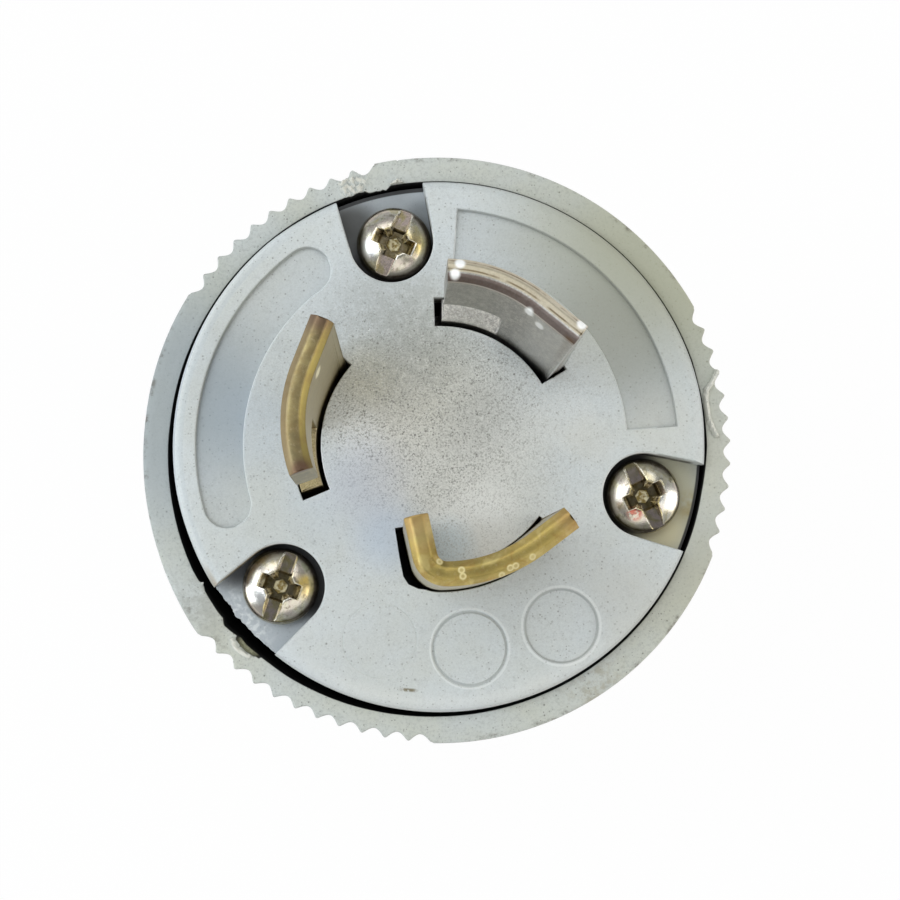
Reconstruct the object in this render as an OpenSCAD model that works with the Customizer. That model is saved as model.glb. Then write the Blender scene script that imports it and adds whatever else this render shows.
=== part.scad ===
// Locking cord plug with three curved blades, pushed into its socket and turned to lock.
// Sizes are in millimetres. The plug's axis is Z, the blades point to +Z and the rear end is at z = 0.
// Angles are seen from the blade side, from +X towards +Y.

/* [Housing] */
// Outside diameter over the grip
housing_d = 40; // [39:0.5:42]
// Height of the rim above the rear end
rim_z = 50.4; // [49:0.2:54]
// Thickness of the wall at the rim
rim_wall = 1.8; // [1.6:0.1:2]
// Thickness of the wall behind the ledge
grip_wall = 2.8; // [2.6:0.1:3.2]
// Height of the shoulder where the grip ends
shoulder_z = 26; // [25:0.5:28]
// Rounding of the shoulder
shoulder_r = 3; // [1:0.5:4]
// Diameter of the neck at the cord end
neck_d = 27; // [26:0.5:29]
// Length of the neck
neck_l = 15; // [15:0.5:17]
// Diameter of the cord inlet
cord_d = 11.2; // [9:0.2:11.6]
// Rounding of the rear edge and chamfer of the inlet
rear_edge = 0.8; // [0.4:0.1:1.2]

/* [Grip] */
// Number of ribbed zones round the grip
zone_count = 3; // [2:1:3]
// V-grooves in one zone
groove_count = 11; // [7:1:13]
// Angle between neighbouring grooves
groove_pitch = 4.55; // [4:0.05:5]
// Depth of a groove
groove_depth = 0.6; // [0.4:0.05:0.8]
// Angle of the first groove of the first zone
groove_start = 100.5; // [96:0.5:105]
// Height of the plastic that was smeared over the first groove at the rim
smear_h = 3; // [1:0.5:5]

/* [Bent rim] */
// Angle where the knocked rim stands out furthest
sprung_angle = 218; // [214:1:222]
// How far the rim stands out there
sprung_out = 0.6; // [0.3:0.1:0.7]
// Height of the wall that leans out
sprung_h = 8; // [5:0.5:8]
// Angle from there to where the rim is round again
sprung_reach = 38; // [30:1:38]
// Radius of the piece that is broken out of the rim's inner edge
chip_r = 1.1; // [0.8:0.1:1.4]
// Angle of the broken-out piece
chip_angle = 226.6; // [224:0.2:230]

/* [Face] */
// Diameter of the face
face_d = 35.6; // [35:0.1:35.8]
// Height that the face stands above the rim
face_proud = 1.6; // [1.2:0.1:2]
// Thickness of the face
face_t = 7; // [6:0.5:8]
// Rounding of the face's edge
face_edge = 0.6; // [0.3:0.1:0.9]
// Depth of the two label fields
field_depth = 0.4; // [0.2:0.1:0.6]
// Angles of the field with square ends
square_field = [4.5, 85.6]; // [0:0.1:90]
// Inner and outer radius of the field with square ends
square_field_r = [12.65, 16]; // [12:0.05:16.4]
// Angles of the end centres of the field with round ends
round_field = [127.3, 196]; // [124:0.1:200]
// Radius of the middle of the field with round ends
round_field_r = 14.75; // [14.4:0.05:15]
// Width of the field with round ends
round_field_w = 3.1; // [2.6:0.1:3.4]
// Diameter of the two round mould marks
mark_d = 4.9; // [4:0.1:5]
// Radius of the circle that each mould mark is on
mark_circle_r = [13.8, 14.6]; // [13:0.05:14.6]
// Angles of the mould marks
mark_angle = [278.2, 303.5]; // [274:0.1:308]
// Depth of the mould marks
mark_depth = 0.15; // [0.1:0.05:0.3]
// Width of the groove that draws the first mark
mark_groove_w = 0.35; // [0.2:0.05:0.5]

/* [Face screws] */
// Radius of the screws' circle
screw_circle_r = 14.2; // [14:0.1:14.4]
// Angles of the screws
screw_angle = [103.4, 222.2, 346]; // [100:0.1:350]
// Diameter of a screw head
head_d = 5; // [4.6:0.1:5.2]
// Height of a screw head
head_h = 1.8; // [1.4:0.1:2]
// Diameter of a screw
face_screw_d = 2.8; // [2.6:0.1:3]
// Directions of the slots in the three heads
slot_angle = [68, 71, 115]; // [0:1:179]
// Width of the notch round a head
notch_w = 5.7; // [5.4:0.1:6]
// Width of the notch at the face's edge
notch_mouth_w = 6.1; // [5.8:0.1:6.6]
// Depth of the notch
notch_depth = 2; // [1.8:0.1:2.4]

/* [Blades] */
// Thickness of a blade
blade_t = 1.5; // [1.3:0.05:1.6]
// Radius of the middle of the blades
blade_r = 9.05; // [8.9:0.05:9.1]
// Height of the blades above the face
blade_h = 14.6; // [13:0.2:16]
// Angles of the hot blade's edges
hot_span = [139.3, 199.6]; // [138:0.1:204]
// Angles of the neutral blade's edges
neutral_span = [31.6, 89.3]; // [30:0.1:94]
// Angle of the earth blade's plain edge
ground_end = 322.9; // [318:0.1:325]
// Middle of the end of the earth blade's bent leg
leg_end = [-1.78, -5.6]; // [-7:0.02:0]
// Direction of the bent leg, towards the axis
leg_angle = 102.7; // [98:0.1:108]
// Bend radius of the leg at the middle of its thickness
bend_r = 1.35; // [1.1:0.05:1.6]
// Bevel across the tip on each side
tip_bevel = 0.45; // [0.2:0.05:0.6]
// Width of the locking notch along the blade's arc
lock_w = 4.2; // [3:0.1:4.6]
// Height of the locking notch above the face
lock_h = 6.5; // [5:0.1:8]
// Radius of the middle of the blade slots
slot_r = 8.94; // [8.9:0.02:9]
// Width of the blade slots
slot_w = 1.93; // [1.85:0.01:2]
// Room at the locking edge and at the plain edge of a blade in its slot
slot_room = [0.48, 0.16]; // [0.1:0.02:0.6]

/* [Terminals] */
// Width of a terminal tab
tab_w = 8.2; // [7.6:0.1:8.6]
// Height of the tabs' lower end
tab_z = 27; // [26.6:0.1:28]
// Height of the terminal screws
terminal_z = 33; // [32:0.5:34]
// Diameter of a terminal screw
terminal_d = 3.9; // [3.4:0.1:4]
// Diameter of a terminal screw head
terminal_head_d = 6.8; // [6:0.1:7]
// Side of a wire plate
plate_w = 7.6; // [7:0.1:8]
// Thickness of a wire plate
plate_t = 1.2; // [1:0.1:1.4]

/* [Cord clamp] */
// Distance of the clamp screws from the axis
clamp_x = 8.8; // [8.7:0.05:9]
// Diameter of a clamp screw
clamp_d = 3.4; // [3:0.1:3.5]
// Diameter of a clamp screw head
clamp_head_d = 5.8; // [5.4:0.1:6]
// Width across the flats of a clamp nut
clamp_nut_w = 6.3; // [5.8:0.1:6.4]
// Gap between the two jaws
jaw_gap = 1; // [0.6:0.1:1.4]

/* [Hidden] */
$fn = 96;
// Extra length of a cut, so that no face is left on a face
eps = 0.5;
// The bend and the leg of the earth blade are each set in by this much from the stretch before
step_in = 0.01;
// How far the leg and the bend reach into the stretch before, as a length and as an angle
leg_lap = 0.1;
bend_lap = 5;
// Running gap between pieces that seat on each other sideways
seat_gap = 0.1;
// Extra diameter of a hole that a screw passes through, and of a bore that it is screwed into
clearance = 0.4;
thread_gap = 0.1;

plastic = "lightgrey";
inner_plastic = "dimgrey";
brass = "goldenrod";
nickel = "silver";
yellow_zinc = "khaki";

housing_r = housing_d / 2;
rim_bore_r = housing_r - rim_wall;
chamber_r = housing_r - grip_wall;
neck_r = neck_d / 2;
cord_r = cord_d / 2;
face_z = rim_z + face_proud;
face_r = face_d / 2;
tip_z = face_z + blade_h;
face_back_z = face_z - face_t;
flange_t = 4;
ledge_z = face_back_z - flange_t;
// Pocket in the terminal block's flange that traps the blades' feet
foot_t = 3;
foot_z = face_back_z - foot_t;
// Extra width of a blade's foot at each free edge, as an angle
foot_over = 0.9;
foot_room = arc_degrees(foot_over, blade_r);
core_z = shoulder_z;
core_r = blade_r - blade_t / 2 - 2 * seat_gap;

hot_mid = (hot_span[0] + hot_span[1]) / 2;
neutral_mid = (neutral_span[0] + neutral_span[1]) / 2;
leg_in = [cos(leg_angle), sin(leg_angle)];
leg_side = [sin(leg_angle), -cos(leg_angle)];
ground_mid = (bend_angle(blade_r, leg_end) + ground_end) / 2;

// The bent wall is a cone whose axis is moved towards the sprung angle, so it runs out into the round wall
sprung_shift = (2 * housing_r * sprung_out + sprung_out * sprung_out)
    / (2 * (housing_r * (1 - cos(sprung_reach)) + sprung_out));
sprung_slope = sprung_out / sprung_h;
sprung_lap = 1;

boss_r = 3.2;
// The bosses end just below the ledge, so the terminal block seats on the ledge alone
boss_top_z = ledge_z - seat_gap;
insert_r = 2.3;
insert_l = 8;
// Floor of the screw hole below a bush
boss_floor_z = shoulder_z + 2;
face_screw_l = 16;
terminal_head_h = 2.2;
clamp_head_h = 2;
// Length of a screw that stands out beyond the last thread it holds in
screw_end = 0.6;
// Bevel between the chamber's cone and its wall
chamber_edge = 1;

saddle_z = [2.4, 13.6];
clamp_z = (saddle_z[0] + saddle_z[1]) / 2;
window_y = 0.8;
ear_y = 5.8;
nut_seat_y = -5;
nut_t = 2.4;

function polar(r, a) = [r * cos(a), r * sin(a)];
function arc_degrees(length, r) = length / r * 180 / PI;

// Length of the straight leg before the bend that runs into the arc of radius r
function leg_length(r, end) =
    let (p = end + bend_r * leg_side, along = p * leg_in, reach = r - bend_r)
    along + sqrt(along * along - p * p + reach * reach);
function bend_centre(r, end) = end + bend_r * leg_side - leg_length(r, end) * leg_in;
function bend_angle(r, end) = let (c = bend_centre(r, end)) atan2(c[1], c[0]) + 360;

// Wedge of the plane between two angles less than 180 degrees apart
module sector(r, a0, a1) {
    polygon([[0, 0], polar(r, a0), polar(r, (a0 + a1) / 2), polar(r, a1)]);
}

module arc_band(r0, r1, a0, a1) {
    intersection() {
        difference() {
            circle(r1);
            circle(r0);
        }
        sector(2 * r1, a0, a1);
    }
}

// Children at each of the three face screws, with +X pointing away from the plug's axis
module at_face_screws() {
    for (a = screw_angle)
        rotate(a) translate([screw_circle_r, 0, 0]) children();
}

// Children with +X along the radius at angle a and the terminal screw's axis on X
module at_terminal(a) {
    rotate(a) translate([0, 0, terminal_z]) children();
}

// Round-headed machine screw along Z, with its head above z = 0 and its shank below
module domed_screw(d, head_dia, head_height, length) {
    dome_r = (head_dia * head_dia / 4 + head_height * head_height) / (2 * head_height);
    rotate_extrude()
        intersection() {
            translate([0, head_height - dome_r]) circle(dome_r);
            square([head_dia / 2, head_height]);
        }
    translate([0, 0, -length]) cylinder(d = d, h = length + head_height / 2);
}

// Housing: outer form turned about the axis, from the neck over the shoulder to just above the rim
module housing_outside() {
    grip_h = rim_z + eps - shoulder_z;
    rotate_extrude() {
        translate([0, shoulder_z]) square([housing_r - shoulder_r, grip_h]);
        translate([0, shoulder_z + shoulder_r]) square([housing_r, grip_h - shoulder_r]);
        translate([housing_r - shoulder_r, shoulder_z + shoulder_r]) circle(shoulder_r);
        polygon([[0, neck_l], [neck_r, neck_l], [housing_r - shoulder_r, shoulder_z],
                 [0, shoulder_z]]);
        translate([0, rear_edge]) square([neck_r, neck_l - rear_edge]);
        square([neck_r - rear_edge, neck_l]);
        translate([neck_r - rear_edge, rear_edge]) circle(rear_edge);
    }
}

// Cord inlet, wire chamber, ledge and the bore that holds the face
module housing_inside() {
    cone_top_z = shoulder_z + chamber_edge;
    rotate_extrude() {
        polygon([[0, -eps], [cord_r + rear_edge + eps, -eps], [cord_r, rear_edge],
                 [cord_r, neck_l + chamber_edge], [chamber_r - chamber_edge, cone_top_z],
                 [chamber_r, cone_top_z + chamber_edge], [chamber_r, ledge_z], [rim_bore_r, ledge_z],
                 [rim_bore_r, rim_z + 2 * eps], [0, rim_z + 2 * eps]]);
    }
}

// How far the bent rim stands out at angle a
function rim_out(a) =
    let (side = sprung_shift * sin(a - sprung_angle), r = housing_r + sprung_out - sprung_shift)
    max(0, sqrt(r * r - side * side) + sprung_shift * cos(a - sprung_angle) - housing_r);

// Cone of the bent wall for a round wall of radius r, carried up to just above the rim
module sprung_cone(r, above) {
    r1 = r - sprung_shift - sprung_lap * sprung_slope;
    h = sprung_lap + sprung_h + above;
    rotate(sprung_angle) translate([sprung_shift, 0, rim_z - sprung_h - sprung_lap])
        cylinder(r1 = r1, r2 = r1 + h * sprung_slope, h = h);
}

// One V-groove of the grip along Z, with its root at the origin
module groove_prism(length) {
    half_w = housing_r * groove_pitch * PI / 360;
    linear_extrude(length)
        polygon([[0, 0], [groove_depth + eps, -half_w * (1 + eps / groove_depth)],
                 [groove_depth + eps, half_w * (1 + eps / groove_depth)]]);
}

// Groove at angle a up to height top; where the rim is bent out, its upper end leans with the wall
module grip_groove(a, top) {
    lean_h = rim_out(a) / sprung_slope;
    root_r = housing_r - groove_depth;
    rotate(a) translate([root_r, 0, shoulder_z - eps])
        groove_prism(top - shoulder_z + eps - (lean_h > 0 ? lean_h + eps : 0));
    if (lean_h > 0)
        rotate(a) translate([root_r, 0, rim_z - lean_h - 2 * eps]) rotate([0, atan(sprung_slope), 0])
            groove_prism(lean_h + 4 * eps);
}

module grip_grooves() {
    for (zone = [0:zone_count - 1], i = [0:groove_count - 1])
        grip_groove(groove_start + zone * 360 / zone_count + i * groove_pitch,
                    zone == 0 && i == 0 ? rim_z - smear_h : rim_z + eps);
}

module clamp_holes(d) {
    for (side = [-1, 1])
        translate([side * clamp_x, 0, clamp_z]) rotate([90, 0, 0])
            cylinder(d = d, h = neck_d, center = true);
}

// Hexagonal nut or nut pocket along -Y, from the seat outwards
module clamp_hexes(w, length) {
    for (side = [-1, 1])
        translate([side * clamp_x, nut_seat_y, clamp_z]) rotate([90, 30, 0])
            cylinder(d = w / cos(30), h = length, $fn = 6);
}

// Piece broken out of the bent rim's inner edge, a round hollow
module rim_chip() {
    rotate(chip_angle) translate([rim_bore_r, 0, rim_z]) sphere(chip_r);
}

module housing() {
    color(plastic)
        difference() {
            union() {
                difference() {
                    union() {
                        housing_outside();
                        sprung_cone(housing_r, eps);
                    }
                    housing_inside();
                    sprung_cone(rim_bore_r, 2 * eps);
                    translate([0, 0, rim_z]) cylinder(d = 2 * housing_d, h = 3 * eps);
                }
                at_face_screws() translate([0, 0, shoulder_z])
                    cylinder(r = boss_r, h = boss_top_z - shoulder_z);
            }
            grip_grooves();
            rim_chip();
            at_face_screws() translate([0, 0, boss_top_z - insert_l])
                cylinder(r = insert_r, h = insert_l + eps);
            at_face_screws() translate([0, 0, boss_floor_z])
                cylinder(d = face_screw_d + clearance, h = insert_l);
            translate([-neck_r, window_y, saddle_z[0]])
                cube([neck_d, neck_d, saddle_z[1] - saddle_z[0]]);
            clamp_holes(clamp_d + clearance);
            clamp_hexes(clamp_nut_w + 2 * seat_gap, neck_d);
        }
}

// Outline of a blade slot or pocket: r is the middle of its arc and t its width
module arc_outline(r, t, a0, a1) {
    arc_band(r - t / 2, r + t / 2, a0, a1);
}

// Outline for the earth blade: an arc, a bend and a straight leg towards the axis
module leg_outline(r, t, end, a1) {
    c = bend_centre(r, end);
    a0 = bend_angle(r, end);
    leg_w = t - 4 * step_in;
    arc_outline(r, t, a0, a1);
    translate(c) arc_outline(bend_r, t - 2 * step_in, leg_angle + 90, a0 + bend_lap);
    translate(end) rotate(leg_angle + 180) translate([0, -leg_w / 2])
        square([leg_length(r, end) + leg_lap, leg_w]);
}

// Slots in the face for the three blades
module blade_slots() {
    lock_room = arc_degrees(slot_room[0], slot_r);
    plain_room = arc_degrees(slot_room[1], slot_r);
    arc_outline(slot_r, slot_w, hot_span[0] - plain_room, hot_span[1] + lock_room);
    arc_outline(slot_r, slot_w, neutral_span[0] - plain_room, neutral_span[1] + lock_room);
    leg_outline(slot_r, slot_w, leg_end + slot_room[1] * (leg_in - leg_side), ground_end + plain_room);
}

// Notch round a screw head, open to the edge of the face
module head_notch() {
    circle(d = notch_w);
    reach = face_r - screw_circle_r;
    polygon([[0, -notch_w / 2], [reach, -notch_mouth_w / 2], [reach + eps, -notch_mouth_w / 2],
             [reach + eps, notch_mouth_w / 2], [reach, notch_mouth_w / 2], [0, notch_w / 2]]);
}

// Field with round ends, bent along the edge of the face
module round_ended_field() {
    half_w = round_field_w / 2;
    arc_band(round_field_r - half_w, round_field_r + half_w, round_field[0], round_field[1]);
    for (a = round_field)
        translate(polar(round_field_r, a)) circle(half_w);
}

// A ring groove and a shallow round pocket that the mould leaves in the face
module mould_marks() {
    translate([0, 0, face_z - mark_depth]) {
        translate(polar(mark_circle_r[0], mark_angle[0]))
            difference() {
                cylinder(d = mark_d, h = mark_depth + eps);
                translate([0, 0, -eps]) cylinder(d = mark_d - 2 * mark_groove_w, h = mark_depth + 3 * eps);
            }
        translate(polar(mark_circle_r[1], mark_angle[1])) cylinder(d = mark_d, h = mark_depth + eps);
    }
}

module face() {
    color(plastic)
        difference() {
            translate([0, 0, face_back_z])
                rotate_extrude() {
                    square([face_r, face_t - face_edge]);
                    square([face_r - face_edge, face_t]);
                    translate([face_r - face_edge, face_t - face_edge]) circle(face_edge);
                }
            translate([0, 0, face_z - field_depth])
                linear_extrude(field_depth + eps) {
                    arc_band(square_field_r[0], square_field_r[1], square_field[0], square_field[1]);
                    round_ended_field();
                }
            mould_marks();
            translate([0, 0, face_back_z - eps]) linear_extrude(face_t + 2 * eps) blade_slots();
            at_face_screws() translate([0, 0, face_z - notch_depth])
                linear_extrude(notch_depth + eps) head_notch();
            at_face_screws() translate([0, 0, face_back_z - eps])
                cylinder(d = face_screw_d + clearance, h = face_t);
        }
}

// Section across a blade's thickness, from height z0 up to the bevelled tip
module blade_section(r, z0, inset = 0) {
    half_t = blade_t / 2 - inset;
    top = tip_z - inset;
    polygon([[r - half_t, z0], [r + half_t, z0], [r + half_t, top - tip_bevel],
             [r + half_t - tip_bevel, top], [r - half_t + tip_bevel, top],
             [r - half_t, top - tip_bevel]]);
}

// Space beside a blade's edge, between two angles and two heights
module edge_cut(a0, a1, z0, z1) {
    translate([0, 0, z0]) linear_extrude(z1 - z0)
        arc_band(blade_r - blade_t, blade_r + blade_t, a0, a1);
}

// Curved blade strip with a wide foot in the flange's pocket and a terminal tab below it
module blade_strip(foot, blade, mid) {
    beside = 10;
    half_tab = arc_degrees(tab_w, blade_r) / 2;
    difference() {
        rotate(foot[0]) rotate_extrude(angle = foot[1] - foot[0]) blade_section(blade_r, tab_z);
        if (blade[0] > foot[0]) edge_cut(foot[0] - beside, blade[0], face_back_z, tip_z + eps);
        edge_cut(blade[1], foot[1] + beside, face_back_z, tip_z + eps);
        edge_cut(foot[0] - beside, mid - half_tab, tab_z - eps, foot_z);
        edge_cut(mid + half_tab, foot[1] + beside, tab_z - eps, foot_z);
        at_terminal(mid) rotate([0, 90, 0]) cylinder(d = terminal_d + thread_gap, h = 2 * blade_r);
    }
}

// Power blade: its edge at the larger angle is cut away to form the hook that locks
module lock_blade(span) {
    lock_degrees = arc_degrees(lock_w, blade_r);
    difference() {
        blade_strip([span[0] - foot_room, span[1] + foot_room], span, (span[0] + span[1]) / 2);
        edge_cut(span[1] - lock_degrees, span[1] + 2 * foot_room, face_z, face_z + lock_h);
    }
}

module hot_blade() {
    color(brass) lock_blade(hot_span);
}

module neutral_blade() {
    color(nickel) lock_blade(neutral_span);
}

// Earth blade: an arc whose edge is bent in towards the axis
module ground_blade() {
    c = bend_centre(blade_r, leg_end);
    a0 = bend_angle(blade_r, leg_end);
    color(brass) {
        blade_strip([a0, ground_end + foot_room], [a0, ground_end], ground_mid);
        translate(c) rotate(leg_angle + 90)
            rotate_extrude(angle = a0 + bend_lap - leg_angle - 90)
                blade_section(bend_r, foot_z, step_in);
        translate(leg_end) rotate(leg_angle + 180) rotate([90, 0, 90])
            linear_extrude(leg_length(blade_r, leg_end) + leg_lap)
                blade_section(0, foot_z, 2 * step_in);
    }
}

// Inner insulator: a flange behind the face and a core with barriers between the terminals
module terminal_block() {
    barrier_t = 2.4;
    room = foot_room + arc_degrees(seat_gap, blade_r);
    pocket_w = blade_t + 2 * seat_gap;
    color(inner_plastic)
        difference() {
            union() {
                translate([0, 0, ledge_z]) cylinder(r = rim_bore_r - seat_gap, h = flange_t);
                translate([0, 0, core_z]) cylinder(r = core_r, h = ledge_z - core_z + eps);
                for (a = screw_angle)
                    rotate(a) translate([0, -barrier_t / 2, core_z])
                        cube([screw_circle_r - boss_r - seat_gap, barrier_t, ledge_z - core_z + eps]);
            }
            translate([0, 0, foot_z]) linear_extrude(foot_t + eps) {
                arc_outline(blade_r, pocket_w, hot_span[0] - room, hot_span[1] + room);
                arc_outline(blade_r, pocket_w, neutral_span[0] - room, neutral_span[1] + room);
                leg_outline(blade_r, pocket_w, leg_end + seat_gap * leg_in, ground_end + room);
            }
            for (mid = [hot_mid, neutral_mid, ground_mid]) {
                half_tab = arc_degrees(tab_w / 2 + seat_gap, blade_r);
                translate([0, 0, ledge_z - eps]) linear_extrude(foot_z - ledge_z + 2 * eps)
                    arc_outline(blade_r, pocket_w + seat_gap, mid - half_tab, mid + half_tab);
                at_terminal(mid) rotate([0, 90, 0]) translate([0, 0, core_r / 2])
                    cylinder(d = terminal_d + clearance, h = core_r);
            }
            at_face_screws() translate([0, 0, ledge_z - eps])
                cylinder(d = face_screw_d + clearance, h = flange_t + 2 * eps);
        }
}

// Square plate that the terminal screw draws onto the conductor
module wire_plate(a) {
    at_terminal(a) translate([blade_r + blade_t / 2 + seat_gap / 2, 0, 0])
        difference() {
            translate([0, -plate_w / 2, -plate_w / 2]) cube([plate_t, plate_w, plate_w]);
            rotate([0, 90, 0]) translate([0, 0, -eps])
                cylinder(d = terminal_d + clearance, h = plate_t + 2 * eps);
        }
}

module hot_wire_plate() {
    color(brass) wire_plate(hot_mid);
}

module neutral_wire_plate() {
    color(nickel) wire_plate(neutral_mid);
}

module ground_wire_plate() {
    color(brass) wire_plate(ground_mid);
}

// Binding screw through the plate into the terminal tab
module terminal_screw(a) {
    seat_r = blade_r + blade_t / 2 + seat_gap / 2 + plate_t;
    at_terminal(a) translate([seat_r, 0, 0]) rotate([0, 90, 0])
        domed_screw(terminal_d, terminal_head_d, terminal_head_h, seat_r - core_r / 2 - screw_end);
}

module hot_terminal_screw() {
    color(brass) terminal_screw(hot_mid);
}

module neutral_terminal_screw() {
    color(nickel) terminal_screw(neutral_mid);
}

module ground_terminal_screw() {
    color("seagreen") terminal_screw(ground_mid);
}

// Threaded brass bushes moulded into the housing's bosses
module boss_inserts() {
    color(brass) at_face_screws() translate([0, 0, boss_top_z - insert_l])
        difference() {
            cylinder(r = insert_r, h = insert_l);
            translate([0, 0, -eps]) cylinder(d = face_screw_d + thread_gap, h = insert_l + 2 * eps);
        }
}

// Face screws with a straight slot crossed by a shorter second slot
module face_screws() {
    slot = [2 * head_d, 0.9];
    short_slot = [0.8, 0.6 * head_d];
    floor_z = 0.4 * head_h;
    color(yellow_zinc)
        for (i = [0:len(screw_angle) - 1])
            translate(polar(screw_circle_r, screw_angle[i]))
                translate([0, 0, face_z - notch_depth]) rotate(slot_angle[i])
                    difference() {
                        domed_screw(face_screw_d, head_d, head_h, face_screw_l);
                        translate([-slot[0] / 2, -slot[1] / 2, floor_z]) cube([slot[0], slot[1], head_h]);
                        translate([-short_slot[0] / 2, -short_slot[1] / 2, floor_z])
                            cube([short_slot[0], short_slot[1], head_h]);
                    }
}

// Movable jaw of the cord clamp, with a flat ear under each screw head and ribs on the cord
module clamp_saddle() {
    jaw_y = window_y + jaw_gap;
    side_gap = 0.2;
    rib_h = 0.6;
    rib_l = 1.2;
    jaw_l = saddle_z[1] - saddle_z[0] - 2 * side_gap;
    ear_x = clamp_x - clamp_head_d / 2 - clearance;
    color(plastic)
        difference() {
            translate([0, 0, saddle_z[0] + side_gap]) cylinder(r = neck_r, h = jaw_l);
            translate([-neck_r, jaw_y - neck_d, 0]) cube([neck_d, neck_d, neck_l]);
            translate([0, 0, saddle_z[0]]) cylinder(r = cord_r, h = neck_l);
            for (z = [rib_l, (jaw_l + rib_l) / 2])
                translate([0, 0, saddle_z[0] + side_gap + z])
                    cylinder(r = cord_r + rib_h, h = (jaw_l - 3 * rib_l) / 2);
            for (side = [-1, 1])
                translate([side > 0 ? ear_x : -ear_x - neck_r, ear_y, 0]) cube([neck_r, neck_r, neck_l]);
            clamp_holes(clamp_d + clearance);
        }
}

module clamp_screws() {
    slot = [2 * clamp_head_d, 1];
    color(yellow_zinc)
        for (side = [-1, 1])
            translate([side * clamp_x, ear_y, clamp_z]) rotate([-90, 0, 0])
                difference() {
                    domed_screw(clamp_d, clamp_head_d, clamp_head_h,
                                ear_y - nut_seat_y + nut_t + screw_end);
                    translate([-slot[0] / 2, -slot[1] / 2, clamp_head_h / 2])
                        cube([slot[0], slot[1], clamp_head_h]);
                }
}

module clamp_nuts() {
    color(yellow_zinc)
        difference() {
            clamp_hexes(clamp_nut_w, nut_t);
            clamp_holes(clamp_d + thread_gap);
        }
}

housing();
face();
terminal_block();
hot_blade();
neutral_blade();
ground_blade();
hot_wire_plate();
neutral_wire_plate();
ground_wire_plate();
hot_terminal_screw();
neutral_terminal_screw();
ground_terminal_screw();
boss_inserts();
face_screws();
clamp_saddle();
clamp_screws();
clamp_nuts();
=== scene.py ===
"""Looks of the locking cord plug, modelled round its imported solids. All lengths are in metres."""

import math

import bmesh
import bpy
from bpy.props import FloatProperty, FloatVectorProperty, IntProperty, PointerProperty
from mathutils import Euler, Matrix, Vector, noise


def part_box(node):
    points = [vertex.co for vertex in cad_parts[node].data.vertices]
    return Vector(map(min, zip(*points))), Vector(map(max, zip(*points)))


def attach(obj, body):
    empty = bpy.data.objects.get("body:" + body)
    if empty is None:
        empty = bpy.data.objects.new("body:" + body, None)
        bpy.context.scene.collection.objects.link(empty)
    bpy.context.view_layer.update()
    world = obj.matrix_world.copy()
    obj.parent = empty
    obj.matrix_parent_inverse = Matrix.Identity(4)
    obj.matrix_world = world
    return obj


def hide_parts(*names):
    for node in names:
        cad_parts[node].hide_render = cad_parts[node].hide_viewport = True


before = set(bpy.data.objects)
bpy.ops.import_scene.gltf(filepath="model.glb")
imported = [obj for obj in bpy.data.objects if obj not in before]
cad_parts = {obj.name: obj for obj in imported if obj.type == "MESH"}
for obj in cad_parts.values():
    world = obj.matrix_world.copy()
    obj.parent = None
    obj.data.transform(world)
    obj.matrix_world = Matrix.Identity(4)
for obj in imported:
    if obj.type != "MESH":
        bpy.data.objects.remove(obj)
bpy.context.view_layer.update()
MM = 0.001
UP = (0, 0, 1)
# Points closer than this are one point
SEAM = 2e-6
# Degrees from one point of a curved outline to the next
ARC_STEP = 1.5

# Heights along the axis, and the housing's radius
FACE_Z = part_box("face")[1].z
FACE_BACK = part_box("face")[0].z
RIM_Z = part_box("housing")[1].z
TIP_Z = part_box("hot_blade")[1].z
TAB_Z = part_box("hot_blade")[0].z
FOOT_Z = FACE_BACK - 3 * MM
HEAD_Z = FACE_Z - 2 * MM
TERMINAL_Z = 33 * MM
CLAMP_Z = 8 * MM
CLAMP_SIDES = (-8.8 * MM, 8.8 * MM)
HOUSING_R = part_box("housing")[1].x

# Face screws: where they are, how their slots turn, and how far their heads lean, in millimetres
SCREW_ANGLES = (103.4, 222.2, 346.0)
SCREW_CIRCLE = 14.2 * MM
SLOT_ANGLES = (68.0, 71.0, 115.0)
SCREW_LEANS = ((0.18, 0.0), (-0.17, 0.03), (0.0, 0.0))

# Mould marks on the face: radius in millimetres, and angle
RING_MARK = (13.8, 278.2)
POCKET_MARK = (14.6, 303.5)
FAINT_MARK = (13.7, 253.0)

# Blades: the radius of their middle, their ends, and from which angle and which way round they
# run straight
BLADE_R = 9.05 * MM
HOT_SPAN = (139.3, 199.6)
NEUTRAL_SPAN = (31.6, 89.3)
GROUND_END = 322.9
LEG_END = Vector((-1.78 * MM, -5.6 * MM))
LEG_ANGLE = 102.7
HOT_LINE = (159.0, -1)
NEUTRAL_LINE = (51.0, -1)
GROUND_LINE = (307.0, 1)

# Painted glints on the blades, in millimetres
HOT_PAINTED_GLINTS = ((-7.67, 3.18, 64.0),)
NICKEL_PAINTED_GLINTS = ((5.0, 6.62, 65.6), (5.71, 6.02, 64.2), (8.1, 5.75, 66.4), (0.85, 9.4, 66.4),
                (0.55, 8.75, 66.3))
EARTH_PAINTED_GLINTS = ((-0.36, -8.31, 66.5), (0.9, -8.84, 66.5), (0.98, -9.2, 66.5), (3.3, -9.15, 66.4),
               (3.78, -8.72, 66.5), (4.1, -8.6, 66.5), (5.1, -8.08, 66.5))

bl_info = {
    "name": "Locking cord plug",
    "version": (1, 0, 0),
    "blender": (4, 5, 0),
    "location": "View3D > Sidebar > Plug",
    "description": "Models the visible pieces of a locking cord plug and its studio",
    "category": "Mesh",
}


# Small helpers for modelling


def polar(radius, degrees, z=0.0):
    turn = math.radians(degrees)
    return Vector((radius * math.cos(turn), radius * math.sin(turn), z))


def angle_of(co):
    return math.degrees(math.atan2(co.y, co.x)) % 360


def radius_of(co):
    return math.hypot(co.x, co.y)


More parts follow.
